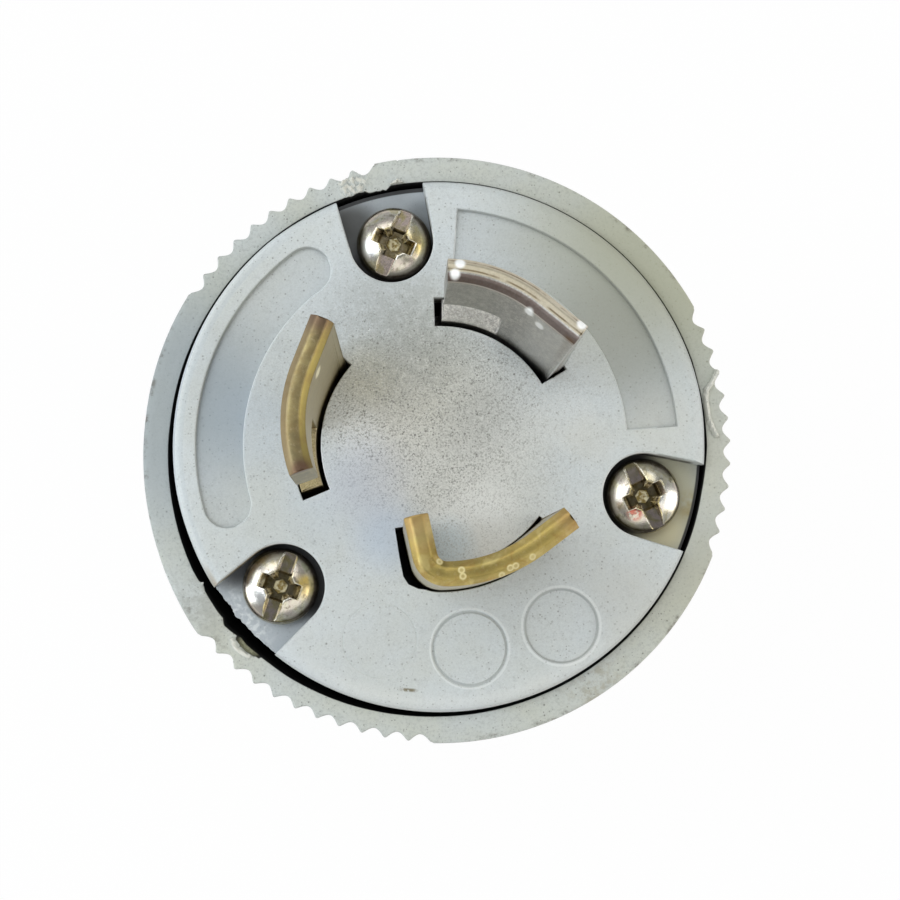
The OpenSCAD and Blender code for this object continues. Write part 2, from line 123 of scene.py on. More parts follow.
def smooth(low, high, value):
    t = min(1.0, max(0.0, (value - low) / (high - low)))
    return t * t * (3 - 2 * t)


def arc_steps(degrees):
    return max(6, round(abs(degrees) / ARC_STEP))


def object_mode():
    if bpy.context.object and bpy.context.object.mode != "OBJECT":
        bpy.ops.object.mode_set(mode="OBJECT")
    bpy.ops.object.select_all(action="DESELECT")


def choose(piece):
    """Makes the piece the only one selected and the active one, in object mode."""
    object_mode()
    piece.select_set(True)
    bpy.context.view_layer.objects.active = piece


def edit(piece):
    choose(piece)
    bpy.ops.object.mode_set(mode="EDIT")


def leave(piece):
    bpy.ops.object.mode_set(mode="OBJECT")
    return piece


def named(name):
    """Gives the piece that was just added its name."""
    piece = bpy.context.active_object
    piece.name = name
    return piece


def settle():
    """Keeps the selected piece's place, turn and size in its mesh."""
    bpy.ops.object.transform_apply(location=True, rotation=True, scale=True)


def select_all():
    bpy.ops.mesh.select_all(action="SELECT")


def merge(threshold=SEAM):
    select_all()
    bpy.ops.mesh.remove_doubles(threshold=threshold)


def pick(piece, kind, test):
    """Selects the vertices, edges or faces that pass the test, and nothing else."""
    bpy.ops.mesh.select_mode(type=kind)
    bpy.ops.mesh.select_all(action="DESELECT")
    mesh = bmesh.from_edit_mesh(piece.data)
    found = 0
    for part in {"VERT": mesh.verts, "EDGE": mesh.edges, "FACE": mesh.faces}[kind]:
        if test(part):
            part.select_set(True)
            found += 1
    mesh.select_flush_mode()
    bmesh.update_edit_mesh(piece.data)
    return found


def push(piece, target):
    """Moves each selected vertex to the place worked out from where it is."""
    mesh = bmesh.from_edit_mesh(piece.data)
    for vertex in mesh.verts:
        if vertex.select:
            vertex.co = target(vertex.co)
    bmesh.update_edit_mesh(piece.data)


def first_vertex(name, at):
    """A new piece that is one selected vertex, in edit mode."""
    object_mode()
    bpy.ops.mesh.primitive_plane_add(size=MM)
    piece = named(name)
    bpy.ops.object.mode_set(mode="EDIT")
    bpy.ops.mesh.select_mode(type="VERT")
    select_all()
    bpy.ops.mesh.merge(type="CENTER")
    bpy.ops.transform.translate(value=at)
    return piece


def extrude(step):
    bpy.ops.mesh.extrude_region_move(TRANSFORM_OT_translate={"value": step})


def draw(points):
    """Extrudes the selected vertex along the points; the first point is where it is."""
    for here, there in zip(points, points[1:]):
        extrude(Vector(there) - Vector(here))


def fill():
    select_all()
    bpy.ops.mesh.edge_face_add()


def spin(degrees, steps, centre=(0, 0, 0), copies=False):
    """Turns the selection about the vertical line through centre, anticlockwise from above."""
    bpy.ops.mesh.spin(steps=steps, angle=-math.radians(degrees), center=centre, axis=UP,
                      dupli=copies)


def close_up(piece):
    """Merges doubles, turns the faces outwards and leaves edit mode."""
    merge()
    bpy.ops.mesh.normals_make_consistent(inside=False)
    return leave(piece)


def outlined(name, points):
    """A new piece that is the points' closed outline, filled, in edit mode."""
    piece = first_vertex(name, points[0])
    draw(points)
    fill()
    return piece


def place(piece, at=(0, 0, 0), turn=0.0, tilt=0.0):
    """Sets a piece modelled at the origin in its place, with the place kept in its mesh."""
    choose(piece)
    piece.rotation_euler = Euler((math.radians(tilt), 0, math.radians(turn)))
    piece.location = at
    settle()
    return piece


def bar(name, radius, length, at, along=UP, sides=64):
    """Round or many-sided bar centred at a place, for holes, bosses and nuts."""
    object_mode()
    turn = Vector(along).to_track_quat("Z", "Y").to_euler()
    bpy.ops.mesh.primitive_cylinder_add(vertices=sides, radius=radius, depth=length,
                                        location=at, rotation=turn)
    tool = named(name)
    settle()
    return tool


def block(name, low, high):
    object_mode()
    bpy.ops.mesh.primitive_cube_add(size=1, location=(Vector(low) + Vector(high)) / 2)
    tool = named(name)
    tool.scale = Vector(high) - Vector(low)
    settle()
    return tool


def swept(name, radius, profile, start, end):
    """Solid that carries a closed profile of offsets and heights along an arc about the axis."""
    piece = outlined(name, [polar(radius + u, start, z) for u, z in profile])
    spin(end - start, arc_steps(end - start))
    return close_up(piece)


def turned(name, section, steps=96):
    """Solid turned about the vertical axis from the radii and heights of its half section."""
    points = [Vector((r, 0, z)) for r, z in section]
    piece = first_vertex(name, points[0])
    draw(points)
    select_all()
    spin(360, steps)
    return close_up(piece)


def box_profile(width, low, high):
    return [(-width / 2, low), (width / 2, low), (width / 2, high), (-width / 2, high)]


def arc_outline(name, radius, width, start, end, z):
    """Filled outline of a square-ended band bent along an arc, and how it grows outwards."""
    tool = first_vertex(name, polar(radius + width / 2, start, z))
    steps = arc_steps(end - start)
    spin(end - start, steps)
    extrude(polar(-width, end))
    spin(start - end, steps)
    fill()

    def grow(co, out):
        r, a, at_end = radius_of(co), angle_of(co), 0.7
        r += out if r > radius else -out
        if a < start + at_end:
            a -= math.degrees(out / r)
        if a > end - at_end:
            a += math.degrees(out / r)
        return polar(r, a, co.z)

    return tool, grow


def flared(tool, low, grow, share=1.0):
    """Extrudes a filled outline up through the face and opens it out near the top, like an
    eased edge."""
    height, done = low, 0.0
    for z, out in ((-0.22, 0.0), (-0.11, 0.025), (-0.03, 0.09), (0.0, 0.2), (0.6, 0.2)):
        top, out = FACE_Z + z * share * MM, out * share
        extrude((0, 0, top - height))
        push(tool, lambda co: grow(co, (out - done) * MM))
        height, done = top, out
    return close_up(tool)


def earth_path(name, radius, profile, end, last):
    """Carries a profile along the earth blade's way: an arc, a bend and a straight leg towards
    the axis. Returns the piece and the angle at which the bend begins."""
    bend = 1.35 * MM
    into, side = polar(1, LEG_ANGLE).xy, polar(1, LEG_ANGLE - 90).xy
    p = end + bend * side
    along = p.dot(into)
    length = along + math.sqrt(along * along - p.dot(p) + (radius - bend) ** 2)
    centre = p - length * into
    first = angle_of(Vector((centre.x, centre.y, 0)))
    piece = outlined(name, [polar(radius + u, last, z) for u, z in profile])
    spin(first - last, 40)
    spin(LEG_ANGLE + 90 - first, 14, (centre.x, centre.y, 0))
    extrude((into.x * length, into.y * length, 0))
    return close_up(piece), first


def warped(face):
    """True for a face of many corners that aren't in one plane."""
    if len(face.verts) <= 4:
        return False
    centre = face.calc_center_median()
    face.normal_update()
    return max(abs((v.co - centre).dot(face.normal)) for v in face.verts) > SEAM


def straighten(piece, radius, start, away):
    """Lets a blade's arc run on straight past an angle, down in angle for away = -1 and up for
    1, near and above the face. Warped faces are fanned out, so that every run splits them alike."""
    edit(piece)
    select_all()
    tangent = polar(1, start + 90 * away)

    def run(co):
        past = away * (angle_of(co) - start)
        if not 0 < past < 60:
            return co
        straight = (polar(radius_of(co), start, co.z)
                    + tangent * math.radians(past) * radius)
        return co.lerp(straight, smooth(FACE_Z - 3.5 * MM, FACE_Z - 1.5 * MM, co.z))

    push(piece, run)
    if pick(piece, "FACE", warped):
        bpy.ops.mesh.poke()
    return leave(piece)


def along_table(table, value):
    """Straight steps between the pairs of a table, level beyond its ends."""
    if value <= table[0][0]:
        return table[0][1]
    for (x0, y0), (x1, y1) in zip(table, table[1:]):
        if value <= x1:
            return y0 + (y1 - y0) * (value - x0) / (x1 - x0)
    return table[-1][1]


def off_line(co, line):
    """Distance seen from above between a point and a line through (angle, radius in mm) pairs."""
    spots = [polar(r * MM, a).xy for a, r in line]
    best = 1.0
    for a, b in zip(spots, spots[1:]):
        t = min(1.0, max(0.0, (co.xy - a).dot(b - a) / (b - a).length_squared))
        best = min(best, (co.xy - a - t * (b - a)).length)
    return best


def dress(nodes, material):
    """Gives solids that are shown as they are their finish."""
    for node in nodes:
        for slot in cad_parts[node].material_slots:
            slot.material = material


def copy_of(piece, name):
    choose(piece)
    bpy.ops.object.duplicate()
    return named(name)


def join(pieces, name):
    choose(pieces[0])
    for piece in pieces:
        piece.select_set(True)
    bpy.ops.object.join()
    return named(name)


def carve(piece, tool, how="DIFFERENCE"):
    """Cuts the tool out of the piece, or adds it, and removes the tool."""
    choose(piece)
    cut = piece.modifiers.new("carve", "BOOLEAN")
    cut.operation = how
    cut.object = tool
    cut.solver = "EXACT"
    bpy.ops.object.modifier_apply(modifier=cut.name)
    bpy.data.objects.remove(tool)
    return piece


def soften(piece, test, width, segments=3, sharper_than=30, material=-1):
    """Rounds the sharp edges whose middle passes the test; the rounds may take a material of
    their own."""
    edit(piece)
    limit = math.radians(sharper_than)
    found = pick(piece, "EDGE", lambda e: len(e.link_faces) == 2 and e.calc_face_angle(0) > limit
                 and test((e.verts[0].co + e.verts[1].co) / 2))
    if found:
        bpy.ops.mesh.bevel(offset=width, segments=segments, affect="EDGES", clamp_overlap=False,
                           material=material)
    return leave(piece)


def finish(piece, node, slot, material, sharp=32):
    """Gives the piece its shading and material, and makes it stand for its solid."""
    choose(piece)
    bpy.ops.object.shade_smooth_by_angle(angle=math.radians(sharp))
    weigh = piece.modifiers.new("weigh", "WEIGHTED_NORMAL")
    weigh.keep_sharp = True
    bpy.ops.object.modifier_apply(modifier=weigh.name)
    if material:
        piece.data.materials.clear()
        piece.data.materials.append(material)
    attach(piece, "root")
    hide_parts(node)
    return piece


# Sizes, colours and the studio that a user may change


class PlugSizes(bpy.types.PropertyGroup):
    rim_wall: FloatProperty(
        name="Rim wall", description="Thickness of the housing's wall at the rim",
        default=1.75 * MM, unit="LENGTH")
    groove_pitch: FloatProperty(
        name="Groove pitch", description="Angle from one grip groove to the next",
        default=math.radians(4.55), subtype="ANGLE")
    groove_start: FloatProperty(
        name="Groove start", description="Angle of the first groove of the first zone",
        default=math.radians(100.7), subtype="ANGLE")
    groove_count: IntProperty(
        name="Grooves", description="Grooves in one of the three zones", default=11)
    rim_spring: FloatProperty(
        name="Sprung rim", description="How far the rim is bent outwards at the lower left",
        default=0.6 * MM, unit="LENGTH")
    face_radius: FloatProperty(
        name="Face radius", description="Radius of the plastic face",
        default=17.8 * MM, unit="LENGTH")
    face_edge: FloatProperty(
        name="Face edge", description="Rounding of the face's outer edge",
        default=0.9 * MM, unit="LENGTH")
    field_depth: FloatProperty(
        name="Field depth", description="Depth of the two bare label fields",
        default=0.4 * MM, unit="LENGTH")
    blade_thickness: FloatProperty(
        name="Blade thickness", description="Thickness of the three blades",
        default=1.5 * MM, unit="LENGTH")
    blade_radius: FloatProperty(
        name="Blade radius", description="Radius of the middle of the blades",
        default=BLADE_R, unit="LENGTH")
    lock_height: FloatProperty(
        name="Lock height", description="Height of the locking notch above the face",
        default=6.5 * MM, unit="LENGTH")
    lock_width: FloatProperty(
        name="Lock width", description="Width of the locking notch along the arc",
        default=4.2 * MM, unit="LENGTH")
    head_diameter: FloatProperty(
        name="Screw head", description="Diameter of a face screw's head",
        default=5.12 * MM, unit="LENGTH")
    head_height: FloatProperty(
        name="Head height", description="Height of a face screw's head",
        default=1.8 * MM, unit="LENGTH")


class PlugColours(bpy.types.PropertyGroup):
    face: FloatVectorProperty(
        name="Face", description="Clean plastic of the face",
        default=(0.63, 0.67, 0.68), subtype="COLOR", min=0, max=1)
    grip: FloatVectorProperty(
        name="Grip", description="Clean plastic of the housing",
        default=(0.535, 0.56, 0.54), subtype="COLOR", min=0, max=1)
    brass: FloatVectorProperty(
        name="Brass", description="Bare brass of the hot blade and the inner pieces",
        default=(0.36, 0.29, 0.135), subtype="COLOR", min=0, max=1)
    earth: FloatVectorProperty(
        name="Earth brass", description="Bare brass of the earth blade",
        default=(0.48, 0.365, 0.115), subtype="COLOR", min=0, max=1)
    nickel: FloatVectorProperty(
        name="Nickel", description="Plating of the neutral blade",
        default=(0.60, 0.58, 0.54), subtype="COLOR", min=0, max=1)
    zinc: FloatVectorProperty(
        name="Yellow zinc", description="Chromated zinc of the screws",
        default=(0.66, 0.60, 0.46), subtype="COLOR", min=0, max=1)
    insulator: FloatVectorProperty(
        name="Insulator", description="Inner terminal block",
        default=(0.045, 0.046, 0.05), subtype="COLOR", min=0, max=1)


class PlugStudio(bpy.types.PropertyGroup):
    camera_place: FloatVectorProperty(
        name="Camera place", description="Where the camera stands",
        default=(-2.95 * MM, -11.6 * MM, FACE_Z + 121.5 * MM), subtype="TRANSLATION")
    lens: FloatProperty(
        name="Lens", description="Focal length on a 36 mm sensor, in millimetres", default=72.88)


# Shader expressions


class Value:
    """A socket that can stand in a sum; each sum adds a Math node."""

    def __init__(self, tree, socket):
        self.tree, self.socket = tree, socket

    def math(self, operation, other=None, clamp=False):
        return math_node(self.tree, operation, (self, other), clamp)

    def __add__(self, other):
        return self.math("ADD", other)

    __radd__ = __add__

    def __mul__(self, other):
        return self.math("MULTIPLY", other)

    __rmul__ = __mul__

    def __sub__(self, other):
        return self.math("SUBTRACT", other)

    def __rsub__(self, other):
        return math_node(self.tree, "SUBTRACT", (other, self))


def feed(tree, socket, value):
    """Links a value to a socket, or sets the socket to a constant; None leaves it as it is."""
    if isinstance(value, Value):
        tree.links.new(value.socket, socket)
    elif value is not None:
        is_colour = socket.type == "RGBA" and len(value) == 3
        socket.default_value = (*value, 1.0) if is_colour else value


def math_node(tree, operation, values, clamp=False):
    node = tree.nodes.new("ShaderNodeMath")
    node.operation, node.use_clamp = operation, clamp
    for socket, value in zip(node.inputs, values):
        feed(tree, socket, value)
    return Value(tree, node.outputs[0])


def strongest(*masks):
    best = masks[0]
    for mask in masks[1:]:
        best = best.math("MAXIMUM", mask)
    return best


class Finish:
    """One procedural material: its coordinates in millimetres, its colour so far and the nodes
    that it is made of."""

    def __init__(self, name):
        self.material = bpy.data.materials.new(name)
        self.material.use_nodes = True
        self.tree = self.material.node_tree
        self.shader = self.tree.nodes["Principled BSDF"]
        self.colour = None
        coordinates = self.node("ShaderNodeTexCoord")
        self.mm = self.vector("SCALE", coordinates["Object"], scale=1000.0)
        parts = self.node("ShaderNodeSeparateXYZ", Vector=self.mm)
        self.x, self.y, self.z = parts["X"], parts["Y"], parts["Z"]
        self.flat = self.node("ShaderNodeCombineXYZ", X=self.x, Y=self.y)["Vector"]

    def node(self, kind, settings=None, **sockets):
        """Adds a node, sets its settings first and then its sockets, and returns its outputs by
        name."""
        made = self.tree.nodes.new(kind)
        for key, value in (settings or {}).items():
            setattr(made, key, value)
        for key, value in sockets.items():
            found = (s for s in made.inputs if s.name.replace(" ", "_") == key and s.enabled)
            feed(self.tree, next(found), value)
        return {s.name: Value(self.tree, s) for s in made.outputs if s.enabled}

    def vector(self, operation, first, second=None, scale=None):
        made = self.tree.nodes.new("ShaderNodeVectorMath")
        made.operation = operation
        for socket, value in zip(made.inputs, (first, second)):
            feed(self.tree, socket, value)
        if scale is not None:
            made.inputs["Scale"].default_value = scale
        is_number = operation in ("LENGTH", "DISTANCE", "DOT_PRODUCT")
        return Value(self.tree, made.outputs["Value" if is_number else "Vector"])

    def noise(self, scale, detail=3.0, roughness=0.55, distortion=0.0, at=None):
        return self.node("ShaderNodeTexNoise", Vector=at or self.mm, Scale=scale, Detail=detail,
                         Roughness=roughness, Distortion=distortion)["Fac"]

    def cells(self, scale, dimensions="3D"):
        """Scattered points: how far the nearest one is, and its colour, which is its chance."""
        at = self.mm if dimensions == "3D" else self.flat
        return self.node("ShaderNodeTexVoronoi", {"voronoi_dimensions": dimensions},
                         Vector=at, Scale=scale)

    def chance(self, cells, low, high):
        red = self.node("ShaderNodeSeparateColor", Color=cells["Color"])["Red"]
        return self.ramp(red, low, high)

    def hues(self, value, stops):
        """Colours along a value, from pairs of place and colour."""
        made = self.tree.nodes.new("ShaderNodeValToRGB")
        elements = made.color_ramp.elements
        while len(elements) < len(stops):
            elements.new(0.5)
        for element, (at, colour) in zip(elements, stops):
            element.position, element.color = at, (*colour, 1)
        feed(self.tree, made.inputs["Fac"], value)
        return Value(self.tree, made.outputs["Color"])

    def ramp(self, value, low, high):
        """0 below low, 1 above high and smooth between."""
        return self.node("ShaderNodeMapRange", {"interpolation_type": "SMOOTHSTEP"}, Value=value,
                         From_Min=low, From_Max=high)["Result"]

    def below(self, value, low, high):
        """1 below low, 0 above high and smooth between."""
        return 1.0 - self.ramp(value, low, high)

    def band(self, value, low, rise, fall, high):
        """0 below low and above high, 1 from rise to fall and smooth between."""
        return self.ramp(value, low, rise) * self.below(value, fall, high)

    def line(self, value, inner, outer):
        """1 near zero, to either side."""
        return self.below(value.math("ABSOLUTE"), inner, outer)

    def spot(self, x, y, inner, outer):
        """A soft round mask about a point of the plug seen from the blade side."""
        return self.below(self.vector("DISTANCE", self.flat, (x, y, 0)), inner, outer)

    def mix(self, share, first, second):
        made = self.tree.nodes.new("ShaderNodeMix")
        made.data_type = "RGBA"
        for number, value in ((0, share), (6, first), (7, second)):
            feed(self.tree, made.inputs[number], value)
        return Value(self.tree, made.outputs[2])

    def tint(self, mask, colour):
        """Lays a colour over the finish's own as far as the mask says."""
        self.colour = self.mix(mask, self.colour, colour)

    def stains_and_painted_light(self, marks, within=None):
        """Lays soft round marks over the colour, real stains and painted light and shade alike:
        place, inner and outer radius, share, colour.
        """
        for x, y, inner, outer, share, colour in marks:
            spot = self.spot(x, y, inner, outer)
            self.tint((spot if within is None else within * spot) * share, colour)

    def bump(self, height, strength, distance):
        return self.node("ShaderNodeBump", Strength=strength, Distance=distance,
                         Height=height)["Normal"]

    def put(self, **sockets):
        """Links or sets the shader's own sockets, the colour so far among them."""
        for key, value in dict(sockets, Base_Color=self.colour).items():
            feed(self.tree, self.shader.inputs[key.replace("_", " ")], value)
        return self.material


# Finishes

# Near-black painted shade for the deep gaps round the screws and the face
PAINTED_GAP_SHADE = (0.012, 0.012, 0.013)
# Where the face screws are, in millimetres
SCREW_SPOTS = [polar(SCREW_CIRCLE / MM, angle) for angle in SCREW_ANGLES]


def scaled(colour, share):
    return tuple(c * share for c in colour)


def speckled_plastic(f, clean, aged, speck, loud=1.0):
    """Gives a finish the colour of moulded plastic with age, fine grime and dark specks, as loud
    as the mask says."""
    f.colour = f.mix(f.ramp(f.noise(0.12, 4.0, 0.6), 0.35, 0.7), clean, aged)
    f.grain = f.noise(6.0, 3.0, 0.7)
    f.mottle = f.noise(2.2, 3.0, 0.65)
    f.tint(f.ramp(f.grain, 0.44, 0.72) * loud * 0.34, scaled(clean, 0.42))
    f.tint(f.ramp(f.mottle, 0.5, 0.78) * 0.22, scaled(clean, 0.6))
    specks = []
    for scale, size, share in ((2.4, 0.22, 0.70), (5.0, 0.30, 0.72)):
        dots = f.cells(scale)
        near = f.below(dots["Distance"], 0.3 * size, size)
        specks.append(near * f.chance(dots, share, share + 0.12) * loud * speck)
    f.specks = strongest(*specks)
    f.tint(f.specks, (0.09, 0.085, 0.07))


def used_surface(f, loud):
    """The face's casts of colour, painted light and shade round the blades and at the left, painted
    reflections, its sandy wear, black dots and grime.
    """
    middle = f.spot(0.0, 2.0, 7.0, 14.0)
    f.stains_and_painted_light((
        # Painted light in the middle, against the blades' shadows
        (-0.5, -1.5, 3.0, 10.0, 0.75, (0.79, 0.785, 0.74)),
        # A beige cast above the middle
        (-0.6, 4.6, 1.0, 6.0, 0.35, (0.60, 0.57, 0.44)),
        # Painted shade, darker towards the lower left
        (-6.5, -13.0, 1.0, 7.0, 0.2, (0.45, 0.47, 0.48)),
        # Painted light in the earth blade's shadow
        (2.6, -5.6, 1.0, 4.2, 0.8, (0.95, 0.96, 0.94)),
        # Painted light right of the middle, against the blades' shadows
        (3.6, 2.6, 1.0, 5.0, 0.3, (0.85, 0.85, 0.82)),
        # Painted light in the earth blade's corner, bluish as a painted reflection of the sky
        (0.5, -6.9, 0.6, 2.6, 0.7, (0.74, 0.87, 0.97)),
        # Painted reflection of the hot blade's brass, warm
        (-4.9, 4.7, 0.6, 3.2, 0.5, (0.55, 0.51, 0.34)),
        # Painted light beside the hot blade, against its shadow
        (-5.4, 0.2, 0.5, 2.6, 0.6, (0.90, 0.93, 0.95)),
        # Painted shade, darker and bluer at the left
        (-12.0, 1.0, 0.8, 4.6, 0.45, (0.44, 0.50, 0.56))))
    sand = f.ramp(f.noise(7.6, 3.0, 0.8), 0.46, 0.62) * (0.3 + middle * 0.45) * loud
    f.tint(sand * (0.5 + f.ramp(f.mottle, 0.35, 0.65) * 0.85), (0.22, 0.22, 0.195))
    elsewhere = f.vector("ADD", f.mm, (7.0, 3.0, 0.0))
    pale = f.ramp(f.noise(8.4, 3.0, 0.75, at=elsewhere), 0.5, 0.66)
    f.tint(pale * (0.26 + middle * 0.4) * loud, (0.94, 0.94, 0.91))
    f.tint(f.specks, (0.10, 0.095, 0.08))
    dots = f.cells(1.2, "2D")
    black = f.chance(dots, 0.72, 0.98) * f.below(dots["Distance"], 0.03, 0.13) * loud
    f.tint(black * 0.85, (0.06, 0.055, 0.045))
    f.stains_and_painted_light((
        (-2.6, 7.6, 0.5, 2.6, 0.2, (0.30, 0.31, 0.29)),
        (8.3, 1.6, 0.8, 3.0, 0.15, (0.92, 0.90, 0.84)),
        (12.6, -10.6, 0.8, 4.0, 0.25, (0.50, 0.48, 0.42)),
        (15.0, 1.4, 0.8, 3.6, 0.3, (0.58, 0.55, 0.44)),
        (10.3, 0.2, 0.6, 2.6, 0.25, (0.60, 0.57, 0.48))))
    dirty = strongest(f.spot(-2.5, 7.5, 1.5, 7.5), f.spot(2.5, 2.0, 0.5, 4.5) * 0.6)
    grime_and_painted_shade = dirty * (0.3 + f.ramp(f.noise(1.4, 5.0, 0.75), 0.25, 0.6) * 0.7)
    f.tint(grime_and_painted_shade * 0.55, (0.27, 0.275, 0.25))
    f.stains_and_painted_light((
        # Painted blue shade round the earth blade and left of the middle
        (-3.4, -6.2, 0.5, 3.6, 0.55, (0.47, 0.57, 0.72)),
        (-7.0, -3.0, 1.0, 5.0, 0.3, (0.52, 0.60, 0.70)),
        (-4.8, -2.4, 0.8, 4.0, 0.25, (0.53, 0.57, 0.74)),
        # Darker and more olive towards the upper right
        (15.0, 15.0, 3.0, 14.0, 0.85, (0.35, 0.35, 0.255))))


def moulded_marks(f, depth, radius, floor):
    """The label fields' floors, with painted blue shade on the left one, their walls with painted
    shade and highlight, the mould marks with painted shaded and lit lines, a painted highlight on a
    slot edge, the smudge, and painted highlight and shade on the face's outer edge.
    """
    # Painted blue shade on the left field's floor; the right one darker and warmer
    f.stains_and_painted_light(((-15.4, 2.6, 1.0, 8.0, 0.6, (0.27, 0.335, 0.40)),
              (12.0, 7.4, 2.0, 7.0, 0.5, (0.30, 0.305, 0.25))), floor)
    f.tint(floor * 0.14, (0.16, 0.17, 0.17))
    # Painted shade on the fields' outer walls and a painted highlight on their inner walls
    edge = f.band(depth, 0.04, 0.1, 0.33, 0.39) * f.ramp(f.y, -7.5, -7.0)
    edge = edge * f.below(radius, 16.4, 16.6)
    outside = f.ramp(radius, 14.5, 14.8)
    f.tint(edge * outside * 0.45, (0.26, 0.27, 0.26))
    f.tint(edge * (1.0 - outside) * 0.55, (0.84, 0.86, 0.85))
    for at in (polar(*RING_MARK), polar(*POCKET_MARK)):
        off = f.vector("DISTANCE", f.flat, at)
        # Painted shade along each mould mark and a painted highlight just outside it
        f.tint(f.line(off - 2.42, 0.04, 0.13) * 0.5, (0.28, 0.29, 0.28))
        f.tint(f.line(off - 2.62, 0.04, 0.12) * 0.35, (0.88, 0.90, 0.89))
    # Painted highlight on the eased edge of the hot blade's slot
    lit = f.band(depth, 0.004, 0.02, 0.12, 0.16) * f.spot(-7.4, -1.2, 1.0, 2.6)
    f.tint(lit * 0.9, (0.97, 0.98, 0.99))
    smudge = f.line(f.x + 2.1, 0.2, 0.75) * f.ramp(f.noise(3.0, 3.0, 0.6), 0.3, 0.5)
    smudge = smudge * f.line(f.y + 16.55 + f.x * 0.08, 0.04, 0.17)
    f.tint(smudge * 0.95, (0.17, 0.14, 0.075))
    # Painted highlight and shade on the face's rounded outer edge at the left, and a painted
    # highlight at the bottom
    left, high = f.spot(-19.0, 4.0, 9.0, 16.0), f.below(depth, 0.6, 1.0)
    f.tint(f.ramp(radius, 17.6, 17.75) * high * left * 0.25, (0.95, 0.97, 0.98))
    f.tint(f.band(radius, 17.1, 17.25, 17.4, 17.55) * left * 0.3, (0.40, 0.44, 0.46))
    low = f.spot(2.0, -19.0, 7.0, 15.0)
    f.tint(f.ramp(radius, 16.3, 17.3) * high * low * 0.2, (0.80, 0.78, 0.72))


def notches(f, depth, radius, floor):
    """Walls and floors of the screw notches, with dirt and painted shade, and painted shade in the
    gaps at the screws and the rim.
    """
    # Painted shade down the walls, with brown dirt in it
    wall = f.band(depth, 0.25, 0.7, 1.85, 1.98) * (1.0 - floor) * f.below(radius, 16.9, 17.4)
    brown = f.ramp(f.noise(0.9, 4.0, 0.7), 0.3, 0.6)
    f.tint(wall * (0.45 + brown * 0.5), (0.07, 0.06, 0.045))
    soiled = f.ramp(depth, 0.05, 0.3) * f.spot(-13.0, -8.8, 1.5, 3.2)
    f.tint(soiled * f.below(depth, 0.7, 1.1) * 0.8, (0.30, 0.22, 0.11))
    deep = f.ramp(depth, 1.9, 1.98)
    # Painted shade on the notch floors, bluish grey
    f.tint(deep * 0.6, (0.34, 0.38, 0.43))
    # Painted shade with dirt at the left of the top notch
    f.stains_and_painted_light(((-6.0, 14.8, 1.0, 2.8, 0.75, (0.05, 0.05, 0.045)),), f.ramp(depth, 0.3, 0.8))
    f.stains_and_painted_light((
        (13.78, -3.44, 3.0, 6.0, 0.7, (0.36, 0.33, 0.18)),
        (15.2, -5.9, 0.4, 2.4, 0.8, (0.55, 0.50, 0.32)),
        # Painted shade in the top notch and beside the lower left screw
        (-3.6, 17.0, 0.8, 3.0, 0.35, (0.15, 0.16, 0.16)),
        (-6.0, 15.4, 0.6, 2.2, 0.6, (0.06, 0.06, 0.055)),
        (-1.2, 15.8, 0.5, 1.8, 0.6, (0.10, 0.115, 0.12)),
        (-13.4, -8.3, 0.5, 2.0, 0.85, (0.04, 0.042, 0.05))), deep)
    crumbs = deep * f.spot(-13.0, -11.6, 1.0, 3.0) * f.ramp(radius, 16.5, 17.2)
    f.tint(crumbs * f.ramp(f.noise(2.4, 3.0), 0.45, 0.62) * 0.6, (0.74, 0.76, 0.76))
    for at in SCREW_SPOTS:
        # Painted shade in the narrow gap between each head and the notch wall, on the side towards
        # the middle
        ring = f.ramp(depth, 0.7, 1.4) * f.spot(at.x, at.y, 2.9, 3.2)
        f.tint(ring * f.below(radius, 13.6, 15.4) * 0.97, PAINTED_GAP_SHADE)
    rust = f.spot(17.2, -4.2, 0.2, 1.6) * f.ramp(depth, 1.7, 1.95)
    f.tint(rust * f.ramp(f.noise(1.2, 3.0), 0.35, 0.6) * 0.8, (0.30, 0.24, 0.10))
    ledge = f.spot(-13.2, -11.9, 4.0, 4.2) * f.ramp(depth, 1.94, 1.97)
    # Painted shade in the gap between face and rim, and in all that lies deeper than the floors
    gap_shade = f.ramp(depth, 1.3, 1.6) * f.ramp(radius, 17.6, 17.68) * (1.0 - ledge)
    f.tint(strongest(gap_shade, f.ramp(depth, 2.02, 2.12)) * 0.96, PAINTED_GAP_SHADE)


def face_plastic(colours):
    f = Finish("face_plastic")
    loud = 0.42 + f.spot(-1.5, 2.2, 4.0, 9.5) * 0.58
    speckled_plastic(f, tuple(colours.face), (0.61, 0.635, 0.61), 0.75, loud)
    f.tint((1.0 - loud) * 0.12, (0.25, 0.25, 0.24))
    used_surface(f, loud)
    depth, radius = FACE_Z / MM - f.z, f.vector("LENGTH", f.flat)
    floor = f.band(depth, 0.3, 0.38, 0.6, 0.8)
    moulded_marks(f, depth, radius, floor)
    notches(f, depth, radius, floor)
    height = f.noise(5.0, 4.0, 0.6) + f.noise(0.9, 2.0) * 1.5
    return f.put(Roughness=0.40 + f.grain * 0.25, Normal=f.bump(height, 0.25, 0.00004),
                 Specular_IOR_Level=0.45)


